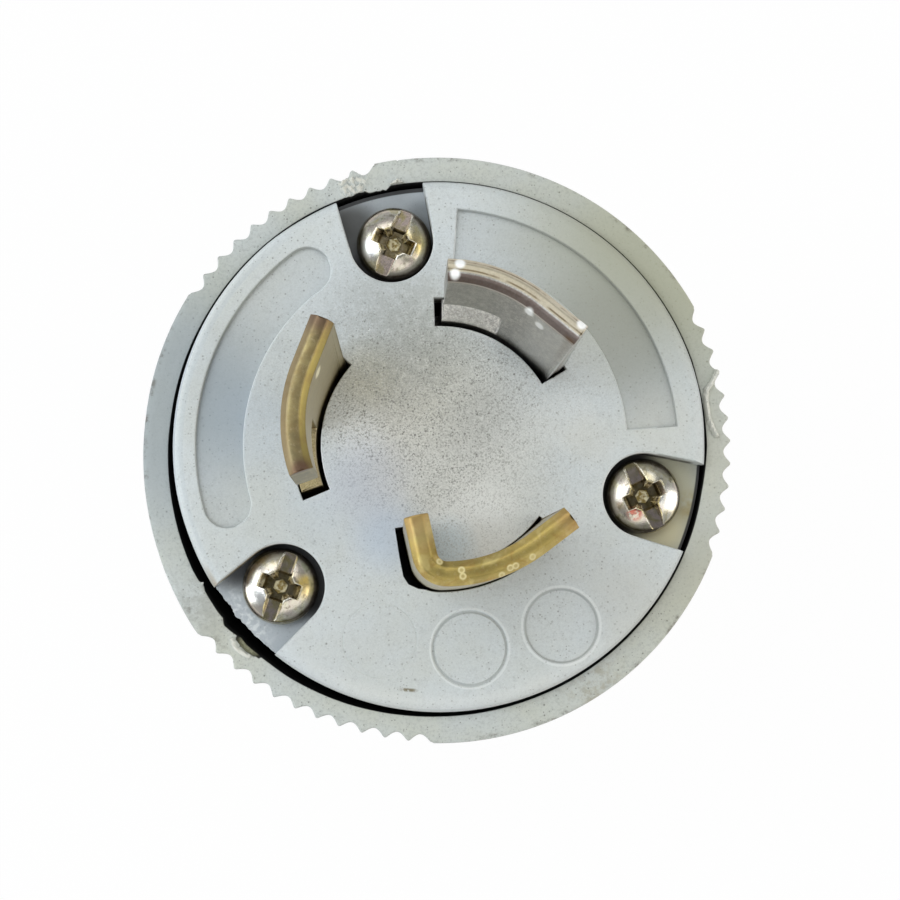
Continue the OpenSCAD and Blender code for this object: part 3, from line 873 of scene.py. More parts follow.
def grip_plastic(colours):
    f = Finish("grip_plastic")
    speckled_plastic(f, tuple(colours.grip), (0.53, 0.54, 0.47), 0.7)
    f.stains_and_painted_light((
        (17.0, 13.0, 2.0, 14.0, 0.8, (0.38, 0.38, 0.275)),
        (19.0, -9.0, 1.0, 7.0, 0.6, (0.44, 0.43, 0.33)),
        (-19.0, 3.0, 3.0, 13.0, 0.75, (0.315, 0.35, 0.365))))
    dirt = f.spot(10.6, -16.2, 0.6, 3.4) * f.ramp(f.noise(1.2, 4.0, 0.75), 0.45, 0.65)
    f.tint(dirt * 0.45, (0.28, 0.23, 0.13))
    smear = f.spot(-15.6, -10.6, 0.6, 3.6) * f.ramp(f.noise(0.9, 4.0, 0.7), 0.35, 0.6)
    f.tint(smear * 0.4, (0.26, 0.25, 0.21))
    radius, below_rim = f.vector("LENGTH", f.flat), RIM_Z / MM - f.z
    tips = f.ramp(radius, 19.55, 19.85) * f.ramp(f.noise(0.8, 4.0, 0.75), 0.52, 0.68)
    f.tint(tips * (0.7 - f.ramp(below_rim, 0.4, 2.2) * 0.62), (0.12, 0.105, 0.08))
    f.stains_and_painted_light(((19.6, -1.0, 1.0, 7.0, 0.4, (0.50, 0.485, 0.385)),))
    # Painted shade down the gap inside the rim, standing also for grime there
    gap_shade = f.below(radius, 18.95, 19.05) * f.ramp(below_rim, 0.03, 0.12)
    f.tint(gap_shade * f.below(below_rim, 9.5, 10.5) * 0.97, (0.010, 0.010, 0.011))
    olive = f.spot(-12.9, -13.6, 0.5, 1.1) * f.ramp(below_rim, 0.05, 0.25)
    f.tint(olive * f.below(below_rim, 0.6, 0.8) * 0.85, (0.34, 0.34, 0.22))
    torn = f.ramp(f.z - RIM_Z / MM, 0.04, 0.14)
    f.tint(torn, (0.68, 0.67, 0.60))
    height = f.noise(4.0, 4.0, 0.65) + f.noise(0.7, 2.0) * 1.5
    return f.put(Roughness=0.45 + f.grain * 0.25, Normal=f.bump(height, 0.3, 0.00005),
                 Specular_IOR_Level=0.4)


def blade_metal(name, base, dull, edge, line=(0.0, 1)):
    """Stamped metal, dulled in clouds, with drawn streaks, pits and a coarse torn surface where it
    was sheared. Its radius is measured across the blade, also past the line from which the blade
    runs straight."""
    f = Finish(name)
    base = tuple(base)
    streak = f.vector("MULTIPLY", f.mm, (1.0, 1.0, 0.12))
    f.colour = f.mix(f.ramp(f.noise(0.55, 4.0, 0.65, 0.6), 0.35, 0.68), base, dull)
    f.tint(f.ramp(f.noise(3.0, 3.0, 0.7, at=streak), 0.5, 0.8) * 0.35, edge)
    f.tint(f.below(f.cells(4.0)["Distance"], 0.03, 0.14) * 0.3, scaled(base, 0.4))
    torn = f.line(f.z - FACE_Z / MM, 0.03, 0.2)
    crumbs = f.noise(9.0, 3.0, 0.7)
    f.tint(torn * f.ramp(crumbs, 0.35, 0.65) * 0.7, edge)
    f.tip = TIP_Z / MM - f.z
    round_part = f.vector("LENGTH", f.flat)
    straight_part = f.vector("DOT_PRODUCT", f.mm, polar(1, line[0]))
    along = f.vector("DOT_PRODUCT", f.mm, polar(1, line[0] + 90 * line[1]))
    f.radius = round_part + (straight_part - round_part) * f.ramp(along, 0.0, 0.05)
    f.rough = 0.27 + f.noise(2.2, 4.0, 0.7) * 0.2 + torn * 0.2
    f.height = f.noise(6.0, 3.0, 0.6, at=streak) + torn * crumbs * 6.0
    return f


def painted_glints(f, places, size, bright, hollow=0.0):
    """Lays small pale beads at the given places as painted glints, hollow ones with a duller
    middle, and returns where the metal is bare."""
    bare, flat = None, Vector((1.0, 1.0, 0.4))
    at = f.vector("MULTIPLY", f.mm, flat)
    for place_mm in places:
        away = f.vector("DISTANCE", at, Vector(place_mm) * flat)
        bead = f.below(away, (0.45 + 0.3 * hollow) * size, size)
        if hollow:
            bead = bead * (1.0 - f.below(away, 0.25 * size, 0.6 * size) * hollow)
        f.tint(bead, bright)
        bare = 1.0 - bead if bare is None else bare * (1.0 - bead)
    return bare


def metal(f, bare=1.0):
    return f.put(Metallic=bare, Roughness=f.rough, Normal=f.bump(f.height, 0.2, 0.00003))


def brass_blade(colours):
    f = blade_metal("brass_blade", colours.brass, (0.22, 0.175, 0.09), (0.62, 0.53, 0.33),
                    HOT_LINE)
    f.tint(f.ramp(f.radius, 9.3, 9.4) * f.below(f.tip, 0.45, 0.6) * 0.8, (0.30, 0.235, 0.13))
    # Painted light: the inner face is paler and less metallic, so it does not reflect the dark slot
    inner = f.below(f.radius, 8.33, 8.42) * f.ramp(f.tip, 0.55, 0.7)
    f.tint(inner * 0.8, (0.45, 0.39, 0.24))
    f.tint(f.below(f.radius, 8.6, 8.75) * f.below(f.tip, 0.5, 0.6) * 0.8, (0.30, 0.24, 0.07))
    clouds = f.ramp(f.noise(1.3, 4.0, 0.7, 0.8), 0.45, 0.65)
    f.tint(clouds * (1.0 - inner) * 0.4, (0.24, 0.165, 0.07))
    burnt = f.spot(-8.5, -2.95, 0.3, 0.9) * f.below(f.tip, 0.5, 1.1)
    f.tint(burnt * 0.85, (0.15, 0.085, 0.06))
    dark_end = f.spot(-7.4, 6.4, 0.4, 1.7) * f.below(f.tip, 0.4, 0.9)
    f.tint(dark_end * 0.85, (0.17, 0.11, 0.075))
    # Painted glint
    bare = painted_glints(f, HOT_PAINTED_GLINTS, 0.5, (0.98, 0.90, 0.62))
    return metal(f, bare * (1.0 - inner * 0.5))


def earth_brass(colours):
    f = blade_metal("earth_brass", colours.earth, (0.34, 0.265, 0.085), (0.66, 0.55, 0.30),
                    GROUND_LINE)
    f.tint(f.ramp(f.noise(1.1, 4.0, 0.7, 0.8), 0.46, 0.64) * 0.45, (0.34, 0.20, 0.06))
    clear = f.noise(0.8, 3.0, 0.6, 0.5, f.vector("ADD", f.mm, (3.0, 8.0, 0.0)))
    f.tint(f.ramp(clear, 0.5, 0.66) * 0.45, (0.66, 0.55, 0.24))
    ends = strongest(f.spot(-1.9, -5.9, 0.2, 1.5), f.spot(7.3, -5.8, 0.2, 1.5),
                     f.spot(-1.4, -7.5, 0.15, 0.7) * 0.6)
    f.tint(ends * 0.5, (0.46, 0.27, 0.12))
    f.stains_and_painted_light(((-1.3, -6.6, 0.3, 1.3, 0.35, (0.70, 0.56, 0.26)),))
    f.tint(f.ramp(f.tip, 0.5, 0.9) * 0.6, (0.48, 0.45, 0.38))
    # Painted glints
    return metal(f, painted_glints(f, EARTH_PAINTED_GLINTS, 0.26, (0.67, 0.57, 0.27), 0.65))


def nickel_blade(colours):
    f = blade_metal("nickel_blade", colours.nickel, (0.44, 0.42, 0.40), (0.80, 0.77, 0.70),
                    NEUTRAL_LINE)
    grain = f.ramp(f.noise(6.0, 3.0, 0.8), 0.42, 0.6)
    f.height = f.height + grain * 3.0
    f.tint(grain * 0.6, (0.27, 0.26, 0.25))
    flecks = f.noise(3.2, 4.0, 0.8, at=f.vector("MULTIPLY", f.mm, (1.0, 1.0, 0.3)))
    f.tint(f.ramp(flecks, 0.48, 0.6) * 0.4, (0.20, 0.195, 0.19))
    f.tint(f.below(flecks, 0.36, 0.46) * 0.4, (0.72, 0.71, 0.68))
    f.stains_and_painted_light(((1.8, 8.0, 0.5, 3.0, 0.35, (0.30, 0.30, 0.25)),
              (6.6, 5.4, 0.5, 3.0, 0.45, (0.86, 0.85, 0.82))))
    top = f.below(f.tip, 0.46, 0.6)
    f.tint(top * f.below(f.radius, 8.78, 8.9) * 0.85, (0.15, 0.105, 0.09))
    f.tint(top * f.ramp(f.radius, 8.9, 8.96) * 0.7, (0.55, 0.48, 0.33))
    # Painted highlight along the rounded inner edge of the tip
    f.tint(top * f.line(f.radius - 8.34, 0.02, 0.06) * 0.6, (0.86, 0.83, 0.77))
    for low, high in ((9.0, 9.1), (9.52, 9.62)):
        streak = f.band(f.radius, low, low + 0.04, high, high + 0.05) * top
        f.tint(streak * f.ramp(f.noise(0.9, 3.0), 0.3, 0.55) * 0.8, (0.17, 0.12, 0.06))
    stain = f.spot(7.55, 5.1, 0.15, 0.6) * f.ramp(f.tip, 0.1, 0.4)
    f.tint(stain * 0.8, (0.20, 0.12, 0.06))
    # Painted glints
    return metal(f, painted_glints(f, NICKEL_PAINTED_GLINTS, 0.42, (1.0, 1.0, 0.98)))


def yellow_zinc(colours):
    """Zinc under a yellow chromate film whose hue drifts, with painted shade in the recesses, a
    painted dark reflection round the rim of each head, and painted highlights on the flanks, in the
    dimples and, with the film's gold, on the right of two heads."""
    f = Finish("yellow_zinc")
    film = f.noise(0.7, 3.0, 0.6, 0.9)
    hues = f.hues(film, ((0.30, (0.54, 0.46, 0.22)), (0.45, (0.64, 0.61, 0.52)),
                         (0.57, (0.58, 0.50, 0.48)), (0.70, (0.42, 0.43, 0.30))))
    f.colour = f.mix(0.3, hues, tuple(colours.zinc))
    first, second, third = SCREW_SPOTS
    inner = strongest(*[f.spot(at.x, at.y, 1.45, 1.75) for at in SCREW_SPOTS])
    outer = strongest(*[f.spot(at.x, at.y, 1.9, 2.35) for at in SCREW_SPOTS])
    high = f.z - HEAD_Z / MM
    on_head = f.ramp(high, -0.1, 0.05)
    # Gold film that also stands for a painted warm highlight on the right of two heads
    gold_film_and_highlight = strongest(f.spot(first.x + 1.7, first.y - 0.1, 0.3, 1.2),
                     f.spot(second.x + 1.6, second.y, 0.3, 1.2))
    f.tint(gold_film_and_highlight * on_head * 0.6, (0.72, 0.55, 0.15))
    # Painted dark reflection round the rim of each head
    f.tint((1.0 - outer) * on_head * 0.3, (0.34, 0.30, 0.22))
    slot_floor = f.band(high, 0.96, 1.0, 1.05, 1.09)
    f.tint(slot_floor * 0.75,
           f.mix(f.ramp(film, 0.42, 0.58), (0.20, 0.16, 0.06), (0.30, 0.24, 0.23)))
    # Painted shade in the recesses
    hollow = inner * on_head * f.below(high, 0.85, 1.0)
    f.tint(hollow * (0.65 + f.noise(2.5, 3.0) * 0.5), (0.10, 0.075, 0.025))
    # Painted highlight in the dimple, mixed with its own dark colour
    dimple_colour_and_glints = inner * on_head * f.below(high, 0.36, 0.44)
    glints = f.ramp(f.noise(3.2, 2.0), 0.4, 0.6)
    f.tint(dimple_colour_and_glints * 0.9, f.mix(glints, (0.36, 0.27, 0.09), (0.98, 0.92, 0.68)))
    red = f.spot(13.1, -4.6, 0.25, 0.75) * f.ramp(f.noise(2.4, 3.0, 0.6), 0.4, 0.55) * on_head
    f.tint(red * 0.85, (0.50, 0.10, 0.06))
    # Painted highlights on the flank of each head that faces a lamp
    painted_highlight = strongest(f.spot(second.x - 1.55, second.y - 0.35, 0.5, 1.1),
                       f.spot(first.x - 1.4, first.y - 0.4, 0.4, 0.9),
                       f.spot(third.x + 1.6, third.y - 0.2, 0.4, 1.0))
    painted_highlight = painted_highlight * f.ramp(high, 0.75, 1.0)
    f.tint(painted_highlight * 0.7, (0.95, 0.94, 0.92))
    # Dark patches: grime and painted dark reflections
    grime_and_painted_shade = f.ramp(f.noise(2.0, 4.0, 0.75), 0.5, 0.7) * (1.0 - painted_highlight)
    f.tint(grime_and_painted_shade * 0.65, (0.17, 0.145, 0.09))
    return f.put(Metallic=1.0 - dimple_colour_and_glints * 0.8, Roughness=0.14 + f.noise(4.0, 3.0, 0.6) * 0.18,
                 Normal=f.bump(f.noise(8.0, 3.0), 0.15, 0.00003))


def zinc_edge():
    """Pale metal of the screws' rounded edges, where the film is worn through, and of one wall of
    each slot, as a painted highlight.
    """
    f = Finish("zinc_edge")
    worn = f.ramp(f.noise(0.8, 3.0, 0.6), 0.35, 0.6)
    f.colour = f.mix(worn, (0.70, 0.59, 0.30), (0.88, 0.84, 0.74))
    return f.put(Metallic=0.8, Roughness=0.22 + f.noise(5.0) * 0.1)


def inner_plastic(colours):
    f = Finish("inner_plastic")
    base = tuple(colours.insulator)
    f.colour = f.mix(f.ramp(f.noise(0.8, 4.0), 0.4, 0.7), base, scaled(base, 1.7))
    return f.put(Roughness=0.5 + f.noise(3.0) * 0.2, Normal=f.bump(f.noise(5.0), 0.2, 0.00004))


def green_lacquer():
    f = Finish("green_lacquer")
    f.colour = f.mix(f.ramp(f.noise(2.0, 4.0), 0.5, 0.75), (0.035, 0.21, 0.10), (0.08, 0.30, 0.17))
    return f.put(Metallic=0.35, Roughness=0.35 + f.noise(4.0) * 0.15)


# Pieces


class PLUG_OT_housing(bpy.types.Operator):
    """Grip housing: a ribbed outline drawn once, turned round the axis and extruded by rings"""

    bl_idname = "plug.housing"
    bl_label = "Housing"

    def outline(self, sizes):
        """One zone of rounded V-grooves and its plain arc, repeated three times round the axis."""
        pitch, start = math.degrees(sizes.groove_pitch), math.degrees(sizes.groove_start)
        count, crest, lead = sizes.groove_count, HOUSING_R - 0.07 * MM, 0.4
        half = [(0.0, -0.56), (0.10, -0.55), (0.22, -0.50), (0.36, -0.41), (0.50, -0.29),
                (0.60, -0.19), (0.68, -0.115), (0.74, -0.075)]
        groove = [(-a, d) for a, d in reversed(half[1:])] + half
        to_degrees = math.degrees(MM / HOUSING_R)
        points = [polar(crest, start - pitch / 2)]
        points += [polar(HOUSING_R + d * MM, start + a * to_degrees) for a, d in groove]
        points += [polar(crest, start + pitch / 2)]
        piece = first_vertex("grip_housing", points[0])
        draw(points)
        select_all()
        spin(pitch * (count - 1), count - 1, copies=True)
        merge()
        end, plain = start + pitch * (count - 0.5), 120 - pitch * count
        pick(piece, "VERT", lambda v: abs((angle_of(v.co) - end + 180) % 360 - 180) < 0.01)
        extrude(polar(HOUSING_R, end + lead) - polar(crest, end))
        spin(plain - 2 * lead, 56)
        extrude(polar(crest, end + plain) - polar(HOUSING_R, end + plain - lead))
        select_all()
        spin(240, 2, copies=True)
        merge()
        bpy.ops.transform.translate(value=(0, 0, RIM_Z - 0.22 * MM))
        return piece

    def ring(self, piece, z, radius=None, share=1.0):
        """Extrudes the last ring to height z; with a radius it is drawn in to that circle by its
        share."""
        extrude((0, 0, 0))

        def target(co):
            r = radius_of(co)
            aim = r if radius is None else r + (radius - r) * share
            return Vector((co.x * aim / r, co.y * aim / r, z))

        push(piece, target)

    def openings(self, piece):
        """Adds the screw bosses in the chamber, then cuts their bores, the clamp window, holes and
        nut pockets."""
        low, top, chamber = 24 * MM, 40.9 * MM, 17.5 * MM
        bosses = [bar("boss", 3.2 * MM, top - low, polar(SCREW_CIRCLE, angle, (low + top) / 2))
                  for angle in SCREW_ANGLES]
        inside = turned("inside", [(0, low), (14 * MM, low), (chamber, 27 * MM),
                                   (chamber, top + MM), (0, top + MM)])
        carve(piece, carve(join(bosses, "bosses"), inside, "INTERSECT"), "UNION")
        cuts = [bar("bore", 2.3 * MM, 9 * MM, polar(SCREW_CIRCLE, angle, top - 3.5 * MM))
                for angle in SCREW_ANGLES]
        cuts.append(block("window", (-14 * MM, 0.8 * MM, 2.4 * MM), (14 * MM, 16 * MM, 13.6 * MM)))
        for x in CLAMP_SIDES:
            pocket = bar("pocket", 3.75 * MM, 12 * MM, (0, 0, 0), sides=6)
            cuts.append(place(pocket, (x, -11 * MM, CLAMP_Z), 0, 90))
        carve(piece, join(cuts, "cuts"))
        holes = [bar("hole", 1.9 * MM, 9 * MM, (x, -1.5 * MM, CLAMP_Z), (0, 1, 0))
                 for x in CLAMP_SIDES]
        carve(piece, join(holes, "holes"))
        soften(piece, lambda c: 2.3 * MM < c.z < 14 * MM and c.y > 0
               and radius_of(c) > 5.7 * MM, 0.2 * MM, 2, 40)

    def wear(self, piece, sizes):
        """Springs the rim out where it was bent, fills the smeared groove and breaks up the
        knocked places. Lines are pairs of angle and radius, tables of angle and step."""
        peel = [(2.3, 18.87), (4.2, 18.62), (6.4, 18.45), (9, 18.45), (11.8, 18.62), (13.4, 19.2),
                (15.2, 19.72)]
        burr = [(97.9, 18.2), (98.9, 18.48), (100.2, 18.28)]
        flake = [(223.2, 19.12), (225.0, 19.3), (226.5, 19.25), (227.9, 19.08)]
        hollow = [(224.1, 18.62), (225.6, 18.72), (227.1, 18.72), (229.2, 18.5)]
        raised = ((peel, 0.2, 0.42), (burr, 0.17, 0.5), (flake, 0.22, 0.14), (hollow, 0.32, -0.5))
        bent = [(175, 0), (185, 0.08), (193, 0.16), (200, 0.25), (210, 0.44), (217, 0.6),
                (220, 0.58), (223, 0.52), (227.6, 0.42), (232, 0.33), (236.6, 0.29), (240.8, 0.21),
                (245, 0.15), (250, 0.08), (256, 0.03), (262, 0)]
        knocked = [(0, -0.04), (4.5, -0.07), (13.5, -0.1), (19, 0), (341, 0), (360, -0.04)]
        inside = [(0, 0.04), (12, 0.08), (20, 0.03), (120, 0.03), (150, -0.04), (170, 0.02),
                  (180, 0.06), (200, 0.04), (207, -0.02), (211, -0.15), (214, -0.18),
                  (218.6, -0.22), (219.9, 0.04), (222, -0.02), (224, -0.14), (226, -0.02),
                  (230, -0.02), (240, 0.06), (250, 0.1), (260, 0.05), (270, -0.04), (280, -0.08),
                  (290, -0.11), (350, -0.11), (358, 0), (360, 0.04)]
        most_bent = max(step for _, step in bent)
        places = ((1, 17), (96, 113), (207, 232))
        smeared_groove, half_pitch = 100.7, 2.27
        edit(piece)
        pick(piece, "FACE", lambda f: f.normal.z > 0.7
             and f.calc_center_median().z > RIM_Z - 0.2 * MM
             and any(a < angle_of(f.calc_center_median()) < b for a, b in places))
        bpy.ops.mesh.subdivide(number_cuts=2)
        pick(piece, "FACE", lambda f: len(f.verts) > 4
             and f.calc_center_median().z > RIM_Z - 3 * MM)
        bpy.ops.mesh.quads_convert_to_tris(ngon_method="BEAUTY")
        select_all()

        def worn(co):
            r, a, z = radius_of(co), angle_of(co), co.z
            if z < RIM_Z - 12 * MM:
                return co
            high = smooth(RIM_Z - 9 * MM, RIM_Z, z)
            at_rim = smooth(RIM_Z - 0.5 * MM, RIM_Z - 0.05 * MM, z)
            rough = noise.noise(co / (0.28 * MM)) + 0.5 * noise.noise(co / (0.12 * MM))
            if abs(a - smeared_groove) < half_pitch and r > 19.2 * MM:
                smeared = smooth(RIM_Z - 3.6 * MM, RIM_Z - 3 * MM, z)
                r += (HOUSING_R - 0.02 * MM - r) * smeared
            lip = smooth(100.4, 101.6, a) * (1 - smooth(105.2, 106.6, a))
            chewed = smooth(103.5, 107, a) * (1 - smooth(110, 112, a)) * at_rim
            nub = max(0, 1 - abs(a - 210.3) / 0.5)
            if 18.1 * MM < r < 18.62 * MM:
                inner = 1 - smooth(18.3 * MM, 18.6 * MM, r)
                r -= inner * at_rim * MM * (0.32 * nub + lip * (0.2 + 0.1 * rough))
                z += inner * at_rim * MM * 0.12 * nub
            if r < 18.7 * MM:
                r += along_table(inside, a) * high * MM
            z += chewed * (0.1 + 0.24 * rough) * MM * (1 - smooth(19.2 * MM, 19.8 * MM, r))
            r += chewed * 0.12 * rough * MM
            out = along_table(bent, a) * sizes.rim_spring / most_bent
            out += along_table(knocked, a) * MM
            there = polar(r + out * high, a, z)
            for line, wide, tall in raised:
                near = 1 - smooth(0.4 * wide * MM, wide * MM, off_line(there, line))
                there.z += at_rim * tall * MM * (1 + 0.3 * rough) * near
            return there

        push(piece, worn)
        merge()
        bpy.ops.mesh.dissolve_degenerate(threshold=SEAM)
        select_all()
        bpy.ops.mesh.normals_make_consistent(inside=False)
        leave(piece)

    def execute(self, context):
        sizes = context.scene.plug_sizes
        piece = self.outline(sizes)
        rim, bore = RIM_Z / MM, (HOUSING_R - sizes.rim_wall) / MM
        for z in (rim - 2.5, rim - 5, rim - 9, 35, 29.2):
            self.ring(piece, z * MM)
        self.ring(piece, 28.3 * MM, 19.7 * MM, 0.5)
        grip_end = ((27.4, 19.35), (26.7, 18.75), (26.2, 17.9), (26.0, 17.0))
        neck = ((20.5, 15.25), (15.4, 13.62), (14.8, 13.5), (8.0, 13.5), (0.8, 13.5),
                (0.35, 13.38), (0.1, 13.1), (0.0, 12.7), (0.0, 6.5))
        inside = ((0.12, 6.15), (0.8, 5.6), (16.0, 5.6), (27.0, 16.2), (28.0, 17.2), (41.0, 17.2),
                  (41.0, bore), (44.0, bore), (rim - 5, bore), (rim - 2.5, bore))
        rim_edge = ((rim - 0.06, bore), (rim - 0.015, bore + 0.015), (rim, bore + 0.06),
                    (rim, bore + 0.45), (rim, bore + 0.75))
        for z, r in grip_end + neck + inside + rim_edge:
            self.ring(piece, z * MM, r * MM)
        pick(piece, "EDGE", lambda e: e.is_boundary
             and radius_of(e.verts[0].co) > (bore + 0.9) * MM)
        for z, r, share in ((-0.07, -1, 0.05), (0, -1, 0.15), (0, -0.95, 0.6)):
            self.ring(piece, RIM_Z + z * MM, HOUSING_R + r * MM, share)
        pick(piece, "EDGE", lambda e: e.is_boundary)
        bpy.ops.mesh.bridge_edge_loops()
        close_up(piece)
        self.openings(piece)
        self.wear(piece, sizes)
        finish(piece, "housing", "grey_plastic", grip_plastic(context.scene.plug_colours))
        return {"FINISHED"}


class PLUG_OT_face(bpy.types.Operator):
    """Plastic face: a turned disc with notches, blade slots, label fields and mould marks cut in"""

    bl_idname = "plug.face"
    bl_label = "Face"

    def disc(self, sizes):
        """Turns the disc and lets its edge reach out to the rim as far as it does round the way."""
        r, edge, back = sizes.face_radius, sizes.face_edge, FACE_Z - 7 * MM
        side = r - 0.1 * MM
        points = [(0, back), (side - 0.3 * MM, back), (side, back + 0.3 * MM),
                  (side, FACE_Z - 1.9 * MM)]
        points += [(r - edge + edge * math.cos(t), FACE_Z - edge + edge * math.sin(t))
                   for t in [math.radians(a) for a in (0, 15, 30, 45, 60, 75, 90)]]
        points = [Vector((u, 0, z)) for u, z in points + [(0, FACE_Z)]]
        piece = first_vertex("plug_face", points[0])
        draw(points)
        select_all()
        spin(360, 240)
        merge(1e-7)
        bpy.ops.mesh.dissolve_limited(angle_limit=math.radians(0.2))
        reach = [(0, 0.13), (6, 0.17), (12, 0.22), (20, 0.24), (90, 0.22), (120, 0.18),
                 (130, 0.22), (140, 0.18), (160, 0.14), (190, 0.14), (200, 0.08), (230, 0.06),
                 (260, 0.08), (300, 0.1), (335, 0.12), (360, 0.13)]

        def reached(co):
            a = angle_of(co)
            outer = radius_of(co) > r - 1.2 * MM
            return polar(radius_of(co) + along_table(reach, a) * MM, a, co.z) if outer else co

        select_all()
        push(piece, reached)
        return close_up(piece)

    def crumble(self, piece):
        """Breaks up the outer edge of the floor at the lower left notch."""
        edit(piece)
        table = [(211, 0.05), (212.5, 0.14), (214.6, 0.06), (216, 0.1), (217.6, 0.0), (219, 0.12),
                 (219.9, 0.22), (221, 0.1), (231, 0.1), (233, 0.0)]

        def at_edge(co):
            return (abs(co.z - HEAD_Z) < 0.01 * MM and radius_of(co) > 17.5 * MM
                    and 210 < angle_of(co) < 234)

        def crumbled(co):
            a = angle_of(co)
            out = along_table(table, a) - 0.05 + 0.07 * noise.noise(co / (0.2 * MM))
            return polar(radius_of(co) + out * MM, a, co.z)

        pick(piece, "EDGE", lambda e: at_edge(e.verts[0].co) and at_edge(e.verts[1].co))
        bpy.ops.mesh.subdivide(number_cuts=5)
        pick(piece, "FACE", lambda f: abs(f.normal.z) < 0.3 and any(at_edge(v.co) for v in f.verts))
        bpy.ops.mesh.quads_convert_to_tris(ngon_method="BEAUTY")
        pick(piece, "VERT", lambda v: at_edge(v.co))
        push(piece, crumbled)
        leave(piece)

    def notch_tool(self, angle):
        """Cutter round a screw head, flared at the top and drawn out past the edge of the face."""
        radius, height, done = 2.85, -2.0, 0.0
        object_mode()
        bpy.ops.mesh.primitive_circle_add(vertices=96, radius=radius * MM, fill_type="NGON")
        tool = named("notch")
        bpy.ops.object.mode_set(mode="EDIT")
        pick(tool, "VERT", lambda v: v.co.x > 0.05 * MM)
        bpy.ops.transform.translate(value=(4 * MM, 0, 0))
        bpy.ops.transform.resize(value=(1, 1.08, 1), center_override=(0, 0, 0))
        pick(tool, "FACE", lambda f: True)
        for z, flare in ((-0.2, 0), (-0.1, 0.03), (-0.03, 0.09), (0.0, 0.18), (0.6, 0.18)):
            extrude((0, 0, (z - height) * MM))
            grown = 1 + (flare - done) / radius
            bpy.ops.transform.resize(value=(grown, grown, 1), center_override=(0, 0, 0))
            height, done = z, flare
        close_up(tool)
        return place(tool, polar(SCREW_CIRCLE, angle, HEAD_Z), angle)

    def marks(self, piece):
        """Mould marks: a thin ring, a shallow round pocket and a faint third ring."""
        radius = 2.45 * MM
        for (r, angle), wide, deep in ((RING_MARK, 0.15, 0.09), (FAINT_MARK, 0.12, 0.025)):
            at = polar(r * MM, angle)
            object_mode()
            bpy.ops.mesh.primitive_torus_add(
                major_radius=radius, minor_radius=wide * MM, major_segments=96, minor_segments=16,
                location=(at.x, at.y, FACE_Z + (wide - deep) * MM))
            ring = named("ring")
            settle()
            carve(piece, ring)
        r, angle = POCKET_MARK
        pocket = bar("pocket", radius, MM, polar(r * MM, angle, FACE_Z + 0.36 * MM), sides=96)
        soften(pocket, lambda c: c.z < FACE_Z, 0.1 * MM)
        carve(piece, pocket)

    def fields(self, piece, floor):
        """Cuts the square-ended field and the one with round ends, both left bare."""
        tool, grow = arc_outline("square_field", 14.325 * MM, 3.35 * MM, 4.5, 85.6, floor)
        carve(piece, flared(tool, floor, grow))
        middle, half, start, end = 14.75 * MM, 1.55 * MM, 127.3, 196.0
        tool = first_vertex("round_field", polar(middle + half, start, floor))
        spin(end - start, 48)
        spin(180, 20, polar(middle, end))
        spin(start - end, 48)
        spin(180, 20, polar(middle, start))
        merge(1e-6)
        bpy.ops.mesh.edge_face_add()

        def grow_round(co, out):
            core = polar(middle, min(end, max(start, angle_of(co))), co.z)
            return co + (co - core).normalized() * out

        carve(piece, flared(tool, floor, grow_round))

    def straight_end(self, piece, start, end, low, line):
        """Cuts the part of a slot where the blade runs straight."""
        tool, grow = arc_outline("slot_end", BLADE_R, 1.6 * MM, start, end, low)
        carve(piece, straighten(flared(tool, low, grow, 0.3), BLADE_R, *line))

    def slots(self, piece):
        """Cuts the three blade slots, with more room at the hooks than at the plain ends."""
        low, radius, width = FACE_Z - 8 * MM, 8.94 * MM, 1.93 * MM
        lock_room, plain_room = [math.degrees(room * MM / radius) for room in (0.48, 0.16)]
        for span, line in ((HOT_SPAN, HOT_LINE), (NEUTRAL_SPAN, NEUTRAL_LINE)):
            tool, grow = arc_outline("slot", radius, width, span[0] - plain_room,
                                     span[1] + lock_room, low)
            carve(piece, flared(tool, low, grow, 0.45))
            self.straight_end(piece, span[0] - 0.5 * plain_room, line[0] + 4, low, line)
        end = LEG_END + 0.16 * MM * (polar(1, LEG_ANGLE) - polar(1, LEG_ANGLE - 90)).xy
        edge = [(width / 2 + out * MM, FACE_Z + z * MM)
                for out, z in ((0, -8), (0, -0.1), (0.03, -0.03), (0.09, 0), (0.09, 0.3))]
        profile = edge + [(0.25 * MM - u, z) for u, z in reversed(edge)]
        carve(piece, earth_path("earth_slot", radius, profile, end, GROUND_END + plain_room)[0])
        corner = ((-3.02, -5.66), (-2.71, -7.64), (-2.45, -8.9), (-2.12, -9.41), (-1.45, -9.71),
                  (-0.49, -9.82), (-0.49, -9.5), (-1.2, -8.9), (-1.8, -8.0), (-2.3, -6.4),
                  (-2.45, -5.55))
        tool = outlined("earth_corner", [Vector((x * MM, y * MM, low)) for x, y in corner])
        extrude((0, 0, 9 * MM))
        carve(piece, close_up(tool))
        self.straight_end(piece, GROUND_LINE[0] - 4, GROUND_END + 0.5 * plain_room, low,
                          GROUND_LINE)

    def execute(self, context):
        sizes = context.scene.plug_sizes
        piece = self.disc(sizes)
        self.slots(piece)
        self.fields(piece, FACE_Z - sizes.field_depth)
        self.marks(piece)
        for angle in SCREW_ANGLES:
            carve(piece, self.notch_tool(angle))
        holes = [bar("hole", 1.6 * MM, 14 * MM, polar(SCREW_CIRCLE, angle, FACE_BACK))
                 for angle in SCREW_ANGLES]
        carve(piece, join(holes, "holes"))
        self.crumble(piece)
        finish(piece, "face", "face_plastic", face_plastic(context.scene.plug_colours))
        return {"FINISHED"}


